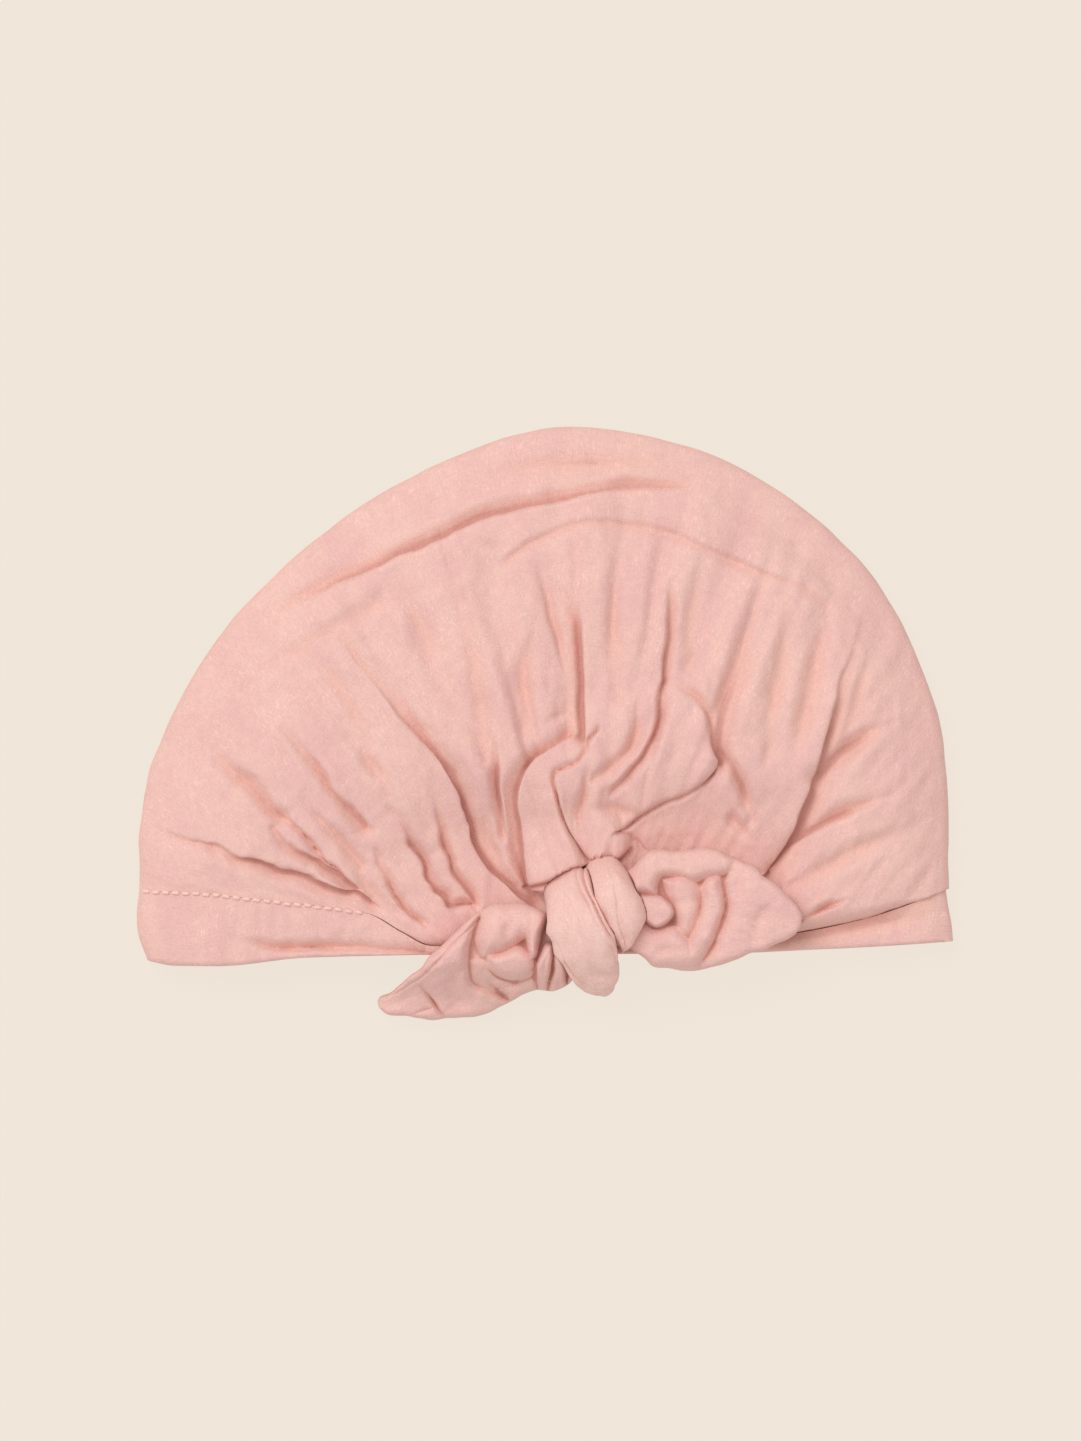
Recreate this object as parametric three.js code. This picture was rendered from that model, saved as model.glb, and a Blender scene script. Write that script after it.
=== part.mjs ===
import * as THREE from "three";

// A knotted baby beanie in crinkled cotton gauze, lying on its back with the knot upwards.
// Millimetres, +Z up. The hem points to -Y, the top of the crown to +Y, and it rests on z = 0.
// Left and right are those of someone who looks down on it with the hem nearest.

// Driving dimensions
const WALL = 1.8; // the crown's doubled gauze, with its crinkle
const HEM_WALL = 2.4; // the hem is turned up once more
const CLEARANCE = 0.5; // kept between the bow and what it lies on
const BAND_GAP = 0.65; // kept between the crown and the band, edge to edge
const EDGE_RADIUS = 4.8; // how tightly the flattened crown turns at its sides
const LOFT = 22; // height of the crown's front panel
const HEM_HEIGHT = 15; // height of the crown's front panel at its lower edge
const HOLLOW = 5; // the folds leave at least this much room inside the crown
const HEM_RISE = 20; // how far from the lower edge the panel takes to reach its loft
const EDGE_FADE = 12; // folds fade out over this distance from the outline
const DROOP = 13; // the bow's cloth comes down to the floor over this distance past the hem
const COLOUR = 0xeabcb3;

// Where the front panel turns over into the side fold
const TURN = THREE.MathUtils.degToRad(60);
const TURN_INSET = EDGE_RADIUS * (1 - Math.cos(TURN));
const TURN_HEIGHT = EDGE_RADIUS * (1 + Math.sin(TURN));
const TURN_SLOPE = 1 / Math.tan(TURN);

// How finely the pieces are divided
const CROWN_COLUMNS = 66;
const CROWN_ROWS = { front: 21, turn: 5, back: 4 };
const BAND_STATIONS = { front: 30, turn: 4, back: 14 };
const BAND_ROWS = 3;
const STRIP_RINGS = 18;
const STRIP_SIDES = 16;

// The crown's outline as it lies, from the left end of the lower edge over the top to the right
const OUTLINE = [
  [-99.4, -41], [-98.9, -22], [-94.5, -5], [-84, 15.5], [-70, 32.5], [-51, 49], [-27, 63], [3, 72.5],
  [34, 68], [58, 56.5], [79, 37.5], [92.5, 13], [98.2, -10], [99, -40.5],
];

// The crown's lower edge, which the hem band carries on from
const LOWER_EDGE = [
  { x: -99, y: -41 }, { x: -72, y: -42.5 }, { x: -40, y: -45.5 }, { x: 0, y: -47 },
  { x: 38, y: -50 }, { x: 62, y: -51 }, { x: 79, y: -47.5 }, { x: 99, y: -40.5 },
];

// The hem band: its free edge, its height where it leaves the crown, and its two ends
const HEM_EDGE = [
  { x: -100, y: -57.5 }, { x: -90, y: -59.3 }, { x: -80, y: -59.3 }, { x: -58, y: -57.2 },
  { x: -30, y: -56.5 }, { x: 40, y: -56.4 }, { x: 70, y: -55.2 }, { x: 100, y: -53.4 },
];
const BAND_HEIGHT = [
  { x: -99, z: 14.5 }, { x: -50, z: 14 }, { x: -20, z: 12.3 }, { x: 40, z: 12 }, { x: 99, z: 11.5 },
];
const BAND_ENDS = [
  { left: -99.4, right: 98.2 }, { left: -100, right: 98.8 },
  { left: -99.6, right: 99.6 }, { left: -97.4, right: 100 },
];

// The crown dips towards the knot, where its cloth is drawn together
const KNOT_X = 11;
const THROAT = { height: 12.5, halfWidth: 58, full: -33, none: -8 };
const GATHER = 2.2; // how strongly the crown's pleat lines close up towards the knot

// The crown's folds: a curve from root to tip, how deep it is, how wide each side of it is as seen
// from its root, and how far along it is deepest
const CROWN_FOLDS = [
  { root: [-43, -43], bend: [-64, -34.5], tip: [-93, -25.5], depth: 6.5, left: 5, right: 2.2, peak: 0.4 },
  { root: [-47, -38.5], bend: [-59, -33.5], tip: [-65, -25], depth: 4, left: 2, right: 3, peak: 0.3 },
  { root: [-51, -33], bend: [-64, -21], tip: [-84, -4], depth: 5, left: 3, right: 2.4, peak: 0.2 },
  { root: [-41, -28], bend: [-48, -18.5], tip: [-65, 1.5], depth: 5, left: 2.6, right: 3, peak: 0.4 },
  { root: [-30, -48], bend: [-37, -43], tip: [-43, -30], depth: 4, left: 2.4, right: 2.6, peak: 0.4 },
  { root: [-21, -45.5], bend: [-34.5, -36.5], tip: [-37, -21], depth: 7, left: 2.2, right: 4, peak: 0.4 },
  { root: [-18.5, -43.5], bend: [-25.5, -35.5], tip: [-28.5, -20], depth: 5, left: 2.2, right: 3, peak: 0.5 },
  { root: [-7, -42.5], bend: [-20.5, -25], tip: [-29.5, -4], depth: 8.5, left: 3, right: 2.4, peak: 0.4 },
  { root: [-29.5, -4], bend: [-39, 3], tip: [-50, 20], depth: 3.5, left: 4, right: 4, peak: 0.1 },
  { root: [-10, -30], bend: [-11.5, -17.5], tip: [-12, -5], depth: 6.5, left: 3.5, right: 2, peak: 0.4 },
  { root: [-4, -40], bend: [-8, -23], tip: [-5, -14], depth: 8.5, left: 2.5, right: 2, peak: 0.5 },
  { root: [-5, -14], bend: [-2, -9], tip: [6, -4], depth: 6.5, left: 3, right: 2.2, peak: 0.2 },
  { root: [9.5, -2], bend: [9.5, 16.5], tip: [2.5, 38], depth: 7, left: 5, right: 2.2, peak: 0.35 },
  { root: [14, -0.5], bend: [12.5, -9.5], tip: [3, -13], depth: 5, left: 2.4, right: 2.4, peak: 0.6 },
  { root: [3, -13], bend: [0.5, -25], tip: [13, -34], depth: 5.5, left: 2.2, right: 2.6, peak: 0.5 },
  { root: [16, -15.5], bend: [27, -7], tip: [27.5, 8], depth: 6.5, left: 2.8, right: 2.2, peak: 0.5 },
  { root: [27.5, 8], bend: [26.5, 20], tip: [30.5, 33], depth: 5, left: 2.2, right: 4, peak: 0.2 },
  { root: [41, -11], bend: [43.5, 2], tip: [31, 8.5], depth: 6.5, left: 2.2, right: 3.5, peak: 0.4 },
  { root: [17.5, -26], bend: [32.5, -18], tip: [41, -11], depth: 6.5, left: 2.2, right: 2.6, peak: 0.5 },
  { root: [26, -32], bend: [22, -28.5], tip: [17.5, -26], depth: 3.5, left: 2.2, right: 2.2, peak: 0.5 },
  { root: [42, -6], bend: [43, 5], tip: [49, 23], depth: 5.5, left: 4, right: 4.5, peak: 0.3 },
  { root: [54, -36], bend: [67.5, -13], tip: [77, 21.5], depth: 8.5, left: 2.2, right: 6, peak: 0.3 },
  { root: [55, -36], bend: [64, -28], tip: [80, -19], depth: 4, left: 4.5, right: 2.4, peak: 0.25 },
  { root: [66, -12.5], bend: [73, -5.5], tip: [84.5, -0.5], depth: 3, left: 3.5, right: 4, peak: 0.4 },
  { root: [-72, 24.5], bend: [-26, 52.5], tip: [35.5, 58], depth: 5.5, left: 3, right: 6, peak: 0.5 },
  { root: [-9, 40], bend: [17.5, 61], tip: [67.5, 29], depth: 2, left: 2.6, right: 3, peak: 0.4 },
];
const BAND_FOLDS = [
  { root: [-28, -57], bend: [-36, -48], tip: [-42.5, -43], depth: 2.5, left: 4, right: 2, peak: 0.5 },
  { root: [-72, -53.5], bend: [-60, -56.5], tip: [-28, -55.5], depth: 1.5, left: 2.4, right: 3, peak: 0.5 },
];
const EAR_FOLDS = [
  { root: [-14, -47], bend: [-17, -54], tip: [-17.5, -61], depth: 4, left: 2.4, right: 3, peak: 0.5 },
  { root: [-17.5, -61], bend: [-16, -66], tip: [-9, -64], depth: 3, left: 2.4, right: 2.4, peak: 0.3 },
  { root: [-5, -54], bend: [-9, -54.5], tip: [-14, -56], depth: 3, left: 2.2, right: 2.2, peak: 0.3 },
  { root: [27.5, -35], bend: [29, -38], tip: [28.5, -43], depth: 3.5, left: 2.4, right: 2.4, peak: 0.5 },
  { root: [29, -37.5], bend: [34, -38], tip: [38, -39], depth: 2.5, left: 2.2, right: 2.2, peak: 0.4 },
  { root: [37, -41], bend: [38.5, -46], tip: [34, -52], depth: 3, left: 2.4, right: 2.4, peak: 0.5 },
  { root: [42.5, -36.5], bend: [47, -46], tip: [38, -58], depth: 2.5, left: 2.6, right: 2.6, peak: 0.5 },
];

// Strips of the knot and bow, from their roots: the two edge points of each section, left and right
// as the strip runs, and its thickness, with the height of its crest for a turn of the knot
const EAR_LEFT = [
  { left: [8, -57], right: [8, -48.5], thick: 7.6 },
  { left: [0, -61], right: [1, -47.5], thick: 7.6 },
  { left: [-6, -66.5], right: [-5, -45], thick: 9.5 },
  { left: [-14, -70], right: [-14, -44.2], thick: 12 },
  { left: [-23, -72], right: [-22, -50.5], thick: 11 },
  { left: [-32, -72.3], right: [-31, -59.5], thick: 8 },
  { left: [-38, -71.5], right: [-38, -65.5], thick: 5 },
  { left: [-40.8, -70], right: [-40.8, -68.2], thick: 2.5 },
];
const EAR_RIGHT = [
  { left: [12, -42.5], right: [12, -51], thick: 7.4 },
  { left: [20.5, -40.5], right: [20, -54], thick: 7.4 },
  { left: [28, -32], right: [27, -59.2], thick: 9.5 },
  { left: [37, -30.8], right: [36, -60.4], thick: 12 },
  { left: [48, -33.3], right: [47, -57.5], thick: 11 },
  { left: [56, -38.5], right: [55.5, -54.6], thick: 8 },
  { left: [60.3, -43.5], right: [60, -50.5], thick: 5 },
  { left: [61.7, -46.2], right: [61.7, -48.4], thick: 2.5 },
];
const KNOT_WRAP = [
  { left: [9, -35.2], right: [-1.2, -40.6], crest: 19, thick: 5 },
  { left: [11.2, -41], right: [-0.2, -45.3], crest: 26.5, thick: 5.5 },
  { left: [14.2, -48], right: [0.4, -50.6], crest: 29, thick: 5.5 },
  { left: [18, -54.5], right: [2, -56], crest: 28, thick: 5.5 },
  { left: [18.3, -60.5], right: [4.4, -61.2], crest: 22.5, thick: 5 },
  { left: [17.2, -64.4], right: [6.6, -64.8], crest: 16, thick: 4.5 },
  { left: [14.5, -66.8], right: [10, -66.9], crest: 9.5, thick: 3.5 },
];
const KNOT_LOOP = [
  { left: [18.8, -33], right: [9.6, -34.4], crest: 19, thick: 5 },
  { left: [22.6, -39.8], right: [11.8, -40.2], crest: 27.6, thick: 5.5 },
  { left: [24.6, -46.2], right: [14.8, -47], crest: 30, thick: 5.5 },
  { left: [22.6, -52], right: [18.4, -52.9], crest: 27, thick: 4.5 },
];
const TURN_SAG = 3; // how far the edges of a turn of the knot lie below its crest
const ROUNDNESS = 0.7; // sections of the strips: 1 is an ellipse, less is squarer

// A smooth value between the rows of a table, at a place that runs from 0 at the first row to 1
function smoothColumn(values, place) {
  const at = THREE.MathUtils.clamp(place, 0, 1) * (values.length - 1);
  const row = Math.min(Math.floor(at), values.length - 2);
  const t = at - row;
  const before = values[Math.max(row - 1, 0)];
  const start = values[row];
  const end = values[row + 1];
  const after = values[Math.min(row + 2, values.length - 1)];
  const bend = 2 * before - 5 * start + 4 * end - after;
  const twist = 3 * (start - end) + after - before;
  return start + 0.5 * t * (end - before + t * (bend + t * twist));
}

// The column's value at x in a table whose rows run along x
function alongX(rows, column, x) {
  const last = rows.length - 1;
  const next = THREE.MathUtils.clamp(rows.findIndex((row) => row.x > x), 1, last);
  const row = x >= rows[last].x ? last : next;
  const t = (x - rows[row - 1].x) / (rows[row].x - rows[row - 1].x);
  const place = (row - 1 + THREE.MathUtils.clamp(t, 0, 1)) / last;
  return smoothColumn(rows.map((each) => each[column]), place);
}

// How deep the folds press the cloth in at a point, the deepest fold counting most
function foldDepth(folds, x, y) {
  const point = new THREE.Vector2(x, y);
  const sum = folds.reduce((total, fold) => total + foldShare(fold, point) ** 3, 0);
  return Math.cbrt(sum);
}

function foldShare(fold, point) {
  const steps = 12;
  let nearest = { distance: Infinity };
  for (let step = 0; step <= steps; step++) {
    const along = step / steps;
    const distance = point.distanceTo(fold.curve.getPoint(along));
    if (distance < nearest.distance) nearest = { distance, along };
  }
  const ahead = fold.curve.getTangent(nearest.along);
  const offset = point.clone().sub(fold.curve.getPoint(nearest.along));
  const width = ahead.cross(offset) > 0 ? fold.left : fold.right;
  const taper = nearest.along < fold.peak
    ? THREE.MathUtils.smoothstep(nearest.along, fold.peak - 1, fold.peak)
    : 1 - THREE.MathUtils.smoothstep(nearest.along, fold.peak, 1.05);
  return fold.depth * taper * Math.exp(-nearest.distance / width);
}

function withCurves(folds) {
  return folds.map((fold) => {
    const points = [fold.root, fold.bend, fold.tip].map(([x, y]) => new THREE.Vector2(x, y));
    return { ...fold, curve: new THREE.QuadraticBezierCurve(...points) };
  });
}

const crownFolds = withCurves(CROWN_FOLDS);
const bandFolds = withCurves(BAND_FOLDS);
const earFolds = withCurves(EAR_FOLDS);

// The height that the front panel domes up to, away from its outline and between its folds
function frontCeiling(x, y) {
  const up = Math.max(0, y - alongX(LOWER_EDGE, "y", x));
  const dome = HEM_HEIGHT + (LOFT - HEM_HEIGHT) * (1 - Math.exp(-up / HEM_RISE));
  const across = Math.exp(-(((x - KNOT_X) / THROAT.halfWidth) ** 4));
  const near = 1 - THREE.MathUtils.smoothstep(y, THROAT.full, THROAT.none);
  return THREE.MathUtils.lerp(dome, THROAT.height, across * near);
}

// A panel's height at a distance from the folded edge, rising smoothly out of the turn
function panelHeight(ceiling, inset) {
  const rise = ceiling - TURN_HEIGHT;
  return TURN_HEIGHT + rise * (1 - Math.exp((-(inset - TURN_INSET) * TURN_SLOPE) / rise));
}

// One section of the crown from the lower edge's front, round the outline's turn, to its back.
// Each station is how far it lies in from the outline, and its height, on either face.
function crownSection(root, tip) {
  const reach = root.distanceTo(tip);
  const place = (inset) => root.clone().lerp(tip, 1 - inset / reach);
  const stations = [];
  for (let row = 0; row < CROWN_ROWS.front; row++) {
    const inset = THREE.MathUtils.lerp(reach, TURN_INSET, row / CROWN_ROWS.front);
    const { x, y } = place(inset);
    const fade = THREE.MathUtils.smoothstep(inset, TURN_INSET, TURN_INSET + EDGE_FADE);
    const panel = panelHeight(frontCeiling(x, y), inset);
    const room = panel - 2 * WALL - HOLLOW;
    const z = panel - fade * room * (1 - Math.exp(-foldDepth(crownFolds, x, y) / room));
    const curl = Math.exp((TURN_INSET - inset) / EDGE_RADIUS);
    const lean = WALL * Math.cos(TURN) * curl;
    const drop = WALL * (1 - (1 - Math.sin(TURN)) * curl);
    stations.push({ outer: [inset, z], inner: [Math.min(inset + lean, reach), z - drop] });
  }
  for (let row = 0; row <= CROWN_ROWS.turn; row++) {
    const angle = THREE.MathUtils.lerp(TURN, -Math.PI / 2, row / CROWN_ROWS.turn);
    stations.push({ outer: onTurn(angle, EDGE_RADIUS), inner: onTurn(angle, EDGE_RADIUS - WALL) });
  }
  for (let row = 1; row <= CROWN_ROWS.back; row++) {
    const inset = THREE.MathUtils.lerp(EDGE_RADIUS, reach, row / CROWN_ROWS.back);
    stations.push({ outer: [inset, 0], inner: [inset, WALL] });
  }
  const face = (side) => stations.map(({ [side]: [inset, z] }) => place(inset).setZ(z));
  return { outer: face("outer"), inner: face("inner") };
}

// A place on the folded edge's turn: how far it lies in from the outline, and its height
function onTurn(angle, radius) {
  return [EDGE_RADIUS - radius * Math.cos(angle), EDGE_RADIUS + radius * Math.sin(angle)];
}

// The crown: a doubled shell on pleat lines that fan out from the knot to the outline
function crown() {
  const outline = new THREE.CatmullRomCurve3(OUTLINE.map(([x, y]) => new THREE.Vector3(x, y, 0)));
  const first = OUTLINE[0][0] + 2 * EDGE_RADIUS;
  const last = OUTLINE[OUTLINE.length - 1][0] - 2 * EDGE_RADIUS;
  const sections = [];
  for (let column = 0; column <= CROWN_COLUMNS; column++) {
    const across = column / CROWN_COLUMNS;
    const side = 2 * across - 1;
    const end = side < 0 ? first : last;
    const x = THREE.MathUtils.lerp(KNOT_X, end, Math.abs(side) ** GATHER);
    const root = new THREE.Vector3(x, alongX(LOWER_EDGE, "y", x), 0);
    sections.push(crownSection(root, outline.getPointAt(across)));
  }
  return shell(sections.map(({ outer }) => outer), sections.map(({ inner }) => inner));
}

// The hem band: a flattened loop that carries on from the crown's lower edge
function hemBand() {
  const stations = [];
  const { front, turn, back } = BAND_STATIONS;
  const turnAt = (end, from, to, row) => {
    const angle = THREE.MathUtils.lerp(from, to, row / turn);
    stations.push({ end, angle });
  };
  for (let row = 0; row < front; row++) stations.push({ across: row / front });
  for (let row = 0; row < turn; row++) turnAt("right", TURN, -Math.PI / 2, row);
  for (let row = 0; row < back; row++) stations.push({ across: 1 - row / back, back: true });
  for (let row = 0; row < turn; row++) turnAt("left", -Math.PI / 2, TURN, row);
  return loft(stations.map(bandRing), { closed: true });
}

// The band's cross-section at one station: up its outer face and back down its inner one
function bandRing(station) {
  const outer = [];
  const inner = [];
  for (let row = 0; row <= BAND_ROWS; row++) {
    const down = row / BAND_ROWS;
    outer.unshift(bandPoint(station, down, 0));
    inner.push(bandPoint(station, down, HEM_WALL));
  }
  return [...outer, ...inner];
}

function bandPoint({ across, back, end, angle }, down, depth) {
  const left = smoothColumn(BAND_ENDS.map((row) => row.left), down);
  const right = smoothColumn(BAND_ENDS.map((row) => row.right), down);
  const atY = (x) => {
    const top = alongX(LOWER_EDGE, "y", x) - BAND_GAP;
    return THREE.MathUtils.lerp(top, alongX(HEM_EDGE, "y", x), down);
  };
  if (end) {
    const [inset, z] = onTurn(angle, EDGE_RADIUS - depth);
    const x = end === "left" ? left + inset : right - inset;
    return new THREE.Vector3(x, atY(x), z);
  }
  if (back) {
    const x = THREE.MathUtils.lerp(left + EDGE_RADIUS, right - EDGE_RADIUS, across);
    return new THREE.Vector3(x, atY(x), depth);
  }
  const x = THREE.MathUtils.lerp(left + TURN_INSET, right - TURN_INSET, across);
  const inset = Math.min(x - left, right - x);
  const curl = Math.exp((TURN_INSET - inset) / EDGE_RADIUS);
  const y = atY(x);
  const z = panelHeight(alongX(BAND_HEIGHT, "z", x), inset) - foldDepth(bandFolds, x, y) * (1 - curl);
  const drop = depth * (1 - (1 - Math.sin(TURN)) * curl);
  const lean = depth * Math.cos(TURN) * curl * Math.sign(0.5 - across);
  return new THREE.Vector3(x + lean, y, z - drop);
}

// What the bow lies on: the crown and the band, then a slope down to the floor past the hem
function bowSeat(x, y) {
  const hem = alongX(HEM_EDGE, "y", x);
  const lower = alongX(LOWER_EDGE, "y", x);
  const seat = Math.max(frontCeiling(x, y), y < lower ? alongX(BAND_HEIGHT, "z", x) : 0);
  return seat * THREE.MathUtils.smoothstep(y, hem - DROOP, hem) + CLEARANCE;
}

// One ear of the bow: bunched cloth between two edges, lying on the crown, pressed in by its folds
function ear(rows) {
  return strip(rows, ({ x, y }, across, up, { thick }) => {
    const swell = 0.5 * thick * (1 + up);
    const pressed = Math.max(0, up) * foldDepth(earFolds, x, y);
    return bowSeat(x, y) + Math.max(swell - pressed, 0.2 * swell);
  });
}

// One turn of the knot: wound cloth that arches over the ears' roots
function knotTurn(rows) {
  return strip(rows, (point, across, up, { crest, thick }) => {
    const middle = crest - 0.5 * thick;
    return middle + 0.5 * thick * up - TURN_SAG * across ** 2;
  });
}

function squared(value) {
  return Math.sign(value) * Math.abs(value) ** ROUNDNESS;
}

// A solid strip lofted through sections between two edges, with a height for each point round them
function strip(rows, height) {
  const rings = [];
  for (let ring = 0; ring <= STRIP_RINGS; ring++) {
    const place = ring / STRIP_RINGS;
    const column = (pick) => smoothColumn(rows.map(pick), place);
    const left = new THREE.Vector3(column((row) => row.left[0]), column((row) => row.left[1]));
    const right = new THREE.Vector3(column((row) => row.right[0]), column((row) => row.right[1]));
    const size = { thick: column((row) => row.thick), crest: column((row) => row.crest ?? 0) };
    const points = [];
    for (let side = 0; side < STRIP_SIDES; side++) {
      const turn = (2 * Math.PI * side) / STRIP_SIDES;
      const across = squared(Math.cos(turn));
      const point = left.clone().lerp(right, 0.5 + 0.5 * across);
      points.push(point.setZ(height(point, across, squared(Math.sin(turn)), size)));
    }
    rings.push(points);
  }
  return loft(rings, { closed: false });
}

// A closed body from rings of points: joined to a loop, or capped at both ends
function loft(rings, { closed }) {
  const sides = rings[0].length;
  const points = rings.flat();
  const faces = [];
  const at = (ring, side) => (ring % rings.length) * sides + (side % sides);
  const spans = closed ? rings.length : rings.length - 1;
  for (let ring = 0; ring < spans; ring++) {
    for (let side = 0; side < sides; side++) {
      faces.push(at(ring, side), at(ring + 1, side), at(ring + 1, side + 1));
      faces.push(at(ring, side), at(ring + 1, side + 1), at(ring, side + 1));
    }
  }
  if (!closed) {
    for (let side = 1; side < sides - 1; side++) {
      faces.push(at(0, 0), at(0, side), at(0, side + 1));
      faces.push(at(spans, 0), at(spans, side + 1), at(spans, side));
    }
  }
  return body(points, faces);
}

// A wall between an outer and an inner face, each a grid of points, closed along its four edges
function shell(outer, inner) {
  const columns = outer.length;
  const rows = outer[0].length;
  const points = [...outer.flat(), ...inner.flat()];
  const faces = [];
  const onOuter = (column, row) => column * rows + row;
  const onInner = (column, row) => (columns + column) * rows + row;
  const quad = (a, b, c, d) => faces.push(a, b, c, a, c, d);
  for (let column = 0; column < columns - 1; column++) {
    for (let row = 0; row < rows - 1; row++) {
      const corners = [[column, row], [column + 1, row], [column + 1, row + 1], [column, row + 1]];
      quad(...corners.map((corner) => onOuter(...corner)));
      quad(...corners.reverse().map((corner) => onInner(...corner)));
    }
  }
  const rim = (from, to) => quad(onOuter(...to), onOuter(...from), onInner(...from), onInner(...to));
  for (let column = 0; column < columns - 1; column++) {
    rim([column, 0], [column + 1, 0]);
    rim([column + 1, rows - 1], [column, rows - 1]);
  }
  for (let row = 0; row < rows - 1; row++) {
    rim([0, row + 1], [0, row]);
    rim([columns - 1, row], [columns - 1, row + 1]);
  }
  return body(points, faces);
}

function body(points, faces) {
  const geometry = new THREE.BufferGeometry().setFromPoints(points);
  geometry.setIndex(faces);
  geometry.computeVertexNormals();
  return geometry;
}

function gauze(name, geometry) {
  const material = new THREE.MeshStandardMaterial({ color: COLOUR, roughness: 0.95, metalness: 0 });
  const mesh = new THREE.Mesh(geometry, material);
  mesh.name = name;
  return mesh;
}

const beanie = new THREE.Group();
beanie.add(
  gauze("crown", crown()),
  gauze("hem_band", hemBand()),
  gauze("ear_left", ear(EAR_LEFT)),
  gauze("ear_right", ear(EAR_RIGHT)),
  gauze("knot_wrap", knotTurn(KNOT_WRAP)),
  gauze("knot_loop", knotTurn(KNOT_LOOP)),
);

export default beanie;
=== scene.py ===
"""A knotted baby beanie in crinkled cotton gauze, lying on its back, seen from straight above."""
import math
from typing import NamedTuple

import bpy
import numpy as np
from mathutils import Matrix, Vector


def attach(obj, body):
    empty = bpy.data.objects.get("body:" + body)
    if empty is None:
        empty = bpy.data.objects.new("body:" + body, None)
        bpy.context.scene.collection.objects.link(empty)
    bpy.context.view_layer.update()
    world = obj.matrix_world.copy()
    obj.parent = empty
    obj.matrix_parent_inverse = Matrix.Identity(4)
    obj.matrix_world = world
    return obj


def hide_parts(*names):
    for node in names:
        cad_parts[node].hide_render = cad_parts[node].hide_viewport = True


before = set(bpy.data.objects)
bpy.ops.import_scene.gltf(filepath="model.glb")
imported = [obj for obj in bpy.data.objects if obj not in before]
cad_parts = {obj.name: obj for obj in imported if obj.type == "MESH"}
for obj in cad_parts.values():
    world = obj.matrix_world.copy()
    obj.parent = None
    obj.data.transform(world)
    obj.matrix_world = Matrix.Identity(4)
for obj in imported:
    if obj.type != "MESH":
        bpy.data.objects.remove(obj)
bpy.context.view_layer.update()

# Sizes in millimetres, in the frame's own axes: the hem to -Y, the top of the crown to +Y
MM = 0.001
WALL = 1.6  # the crown's doubled gauze
HEM_WALL = 2.2  # the hem is turned up once more
EDGE_RADIUS = 4.8  # how tightly the flattened crown turns at its sides
LOFT = 22.0  # height of the crown's front panel
HEM_HEIGHT = 15.0  # its height at the lower edge
HEM_RISE = 20.0  # how far up from the lower edge it takes to reach its loft
HOLLOW = 3.6  # room that the folds leave inside the crown
EDGE_FADE = 9.0  # folds fade out over this distance from the outline
DROOP = 13.0  # the bow's cloth comes down over this distance past the hem
SEAT_GAP = 0.3  # between the bow and what it lies on
TUCK_FROM = 5.0  # the bow lies higher than this over the cloth that it presses down
CREASE_RADIUS = 0.2  # how round the bottom of a fold is
DEEPEST = 4.4  # folds come to rest at this depth
BED = 0.12  # share of a slope that is the fold's flat bottom
ROUNDED = 2.3  # sides of a fold narrower than this are rounded lips, wider ones are slopes
SLOPE_BEND = 1.8  # how quickly a slope falls off into its fold
FOLD_ENDS = 0.45  # share of its width that a fold keeps where it runs out
FOLD_SEARCH = {"widths": 4, "least": 2}  # a fold moves no cloth further off than so many widths
LEAST_ROOM = 0.4  # folds may press the cloth down this far even where there is no room
LEAST_RISE = 0.5  # a panel domes up at least this far above its side fold
SHARP = math.radians(80)  # edges sharper than this stay sharp

# How far fold lines wander, and how much further where those on the left are bundled
FOLD_WANDER = {"crown": 0.35, "bundle": 0.55, "band": 0.4, "ear": 0.25, "knot": 0.2}
BUNDLE = {"left": (12, 32), "down": (-8, 12)}  # distances from the middle over which the bundle sets in

# Where the front panel turns over into the side fold
TURN = math.radians(60)
TURN_INSET = EDGE_RADIUS * (1 - math.cos(TURN))
TURN_HEIGHT = EDGE_RADIUS * (1 + math.sin(TURN))
TURN_SLOPE = 1 / math.tan(TURN)

# How finely the cloth is divided
CROWN_COLUMNS = 460
CROWN_ROWS = {"front": 179, "turn": 8, "back": 4, "lining": 13}
# How closely the rows lie, by the distance from the knot
ROW_DENSITY = [
    (0, 0.5), (14, 0.6), (22, 1.4), (65, 1.25), (95, 0.95), (108, 1.3), (127, 1.3), (133, 0.7),
    (140, 0.5),
]
BAND_STATIONS = {"front": 300, "turn": 10, "back": 50}
BAND_ROWS = 26
STRIP_RINGS = 240
STRIP_SIDES = {"top": 170, "under": 40}
LINE_POINTS = {"rows": 500, "outline": 1500, "seam": 2000, "puff": 90}

# The crown's outline as it lies, from the left end of its lower edge over the top to the right
OUTLINE = [
    (-99.4, -41), (-98.9, -22), (-94.5, -5), (-84, 15.5), (-70, 32.5), (-51, 49), (-27, 63), (3, 72.5),
    (34, 68), (58, 56.5), (79, 37.5), (92.5, 13), (98.2, -10), (99, -40.5),
]
OUTLINE_LENGTH = 340.0
MID_GATHER = 0.62  # cloth across a pleat line halfway to the knot, against the same cloth at the outline

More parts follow.
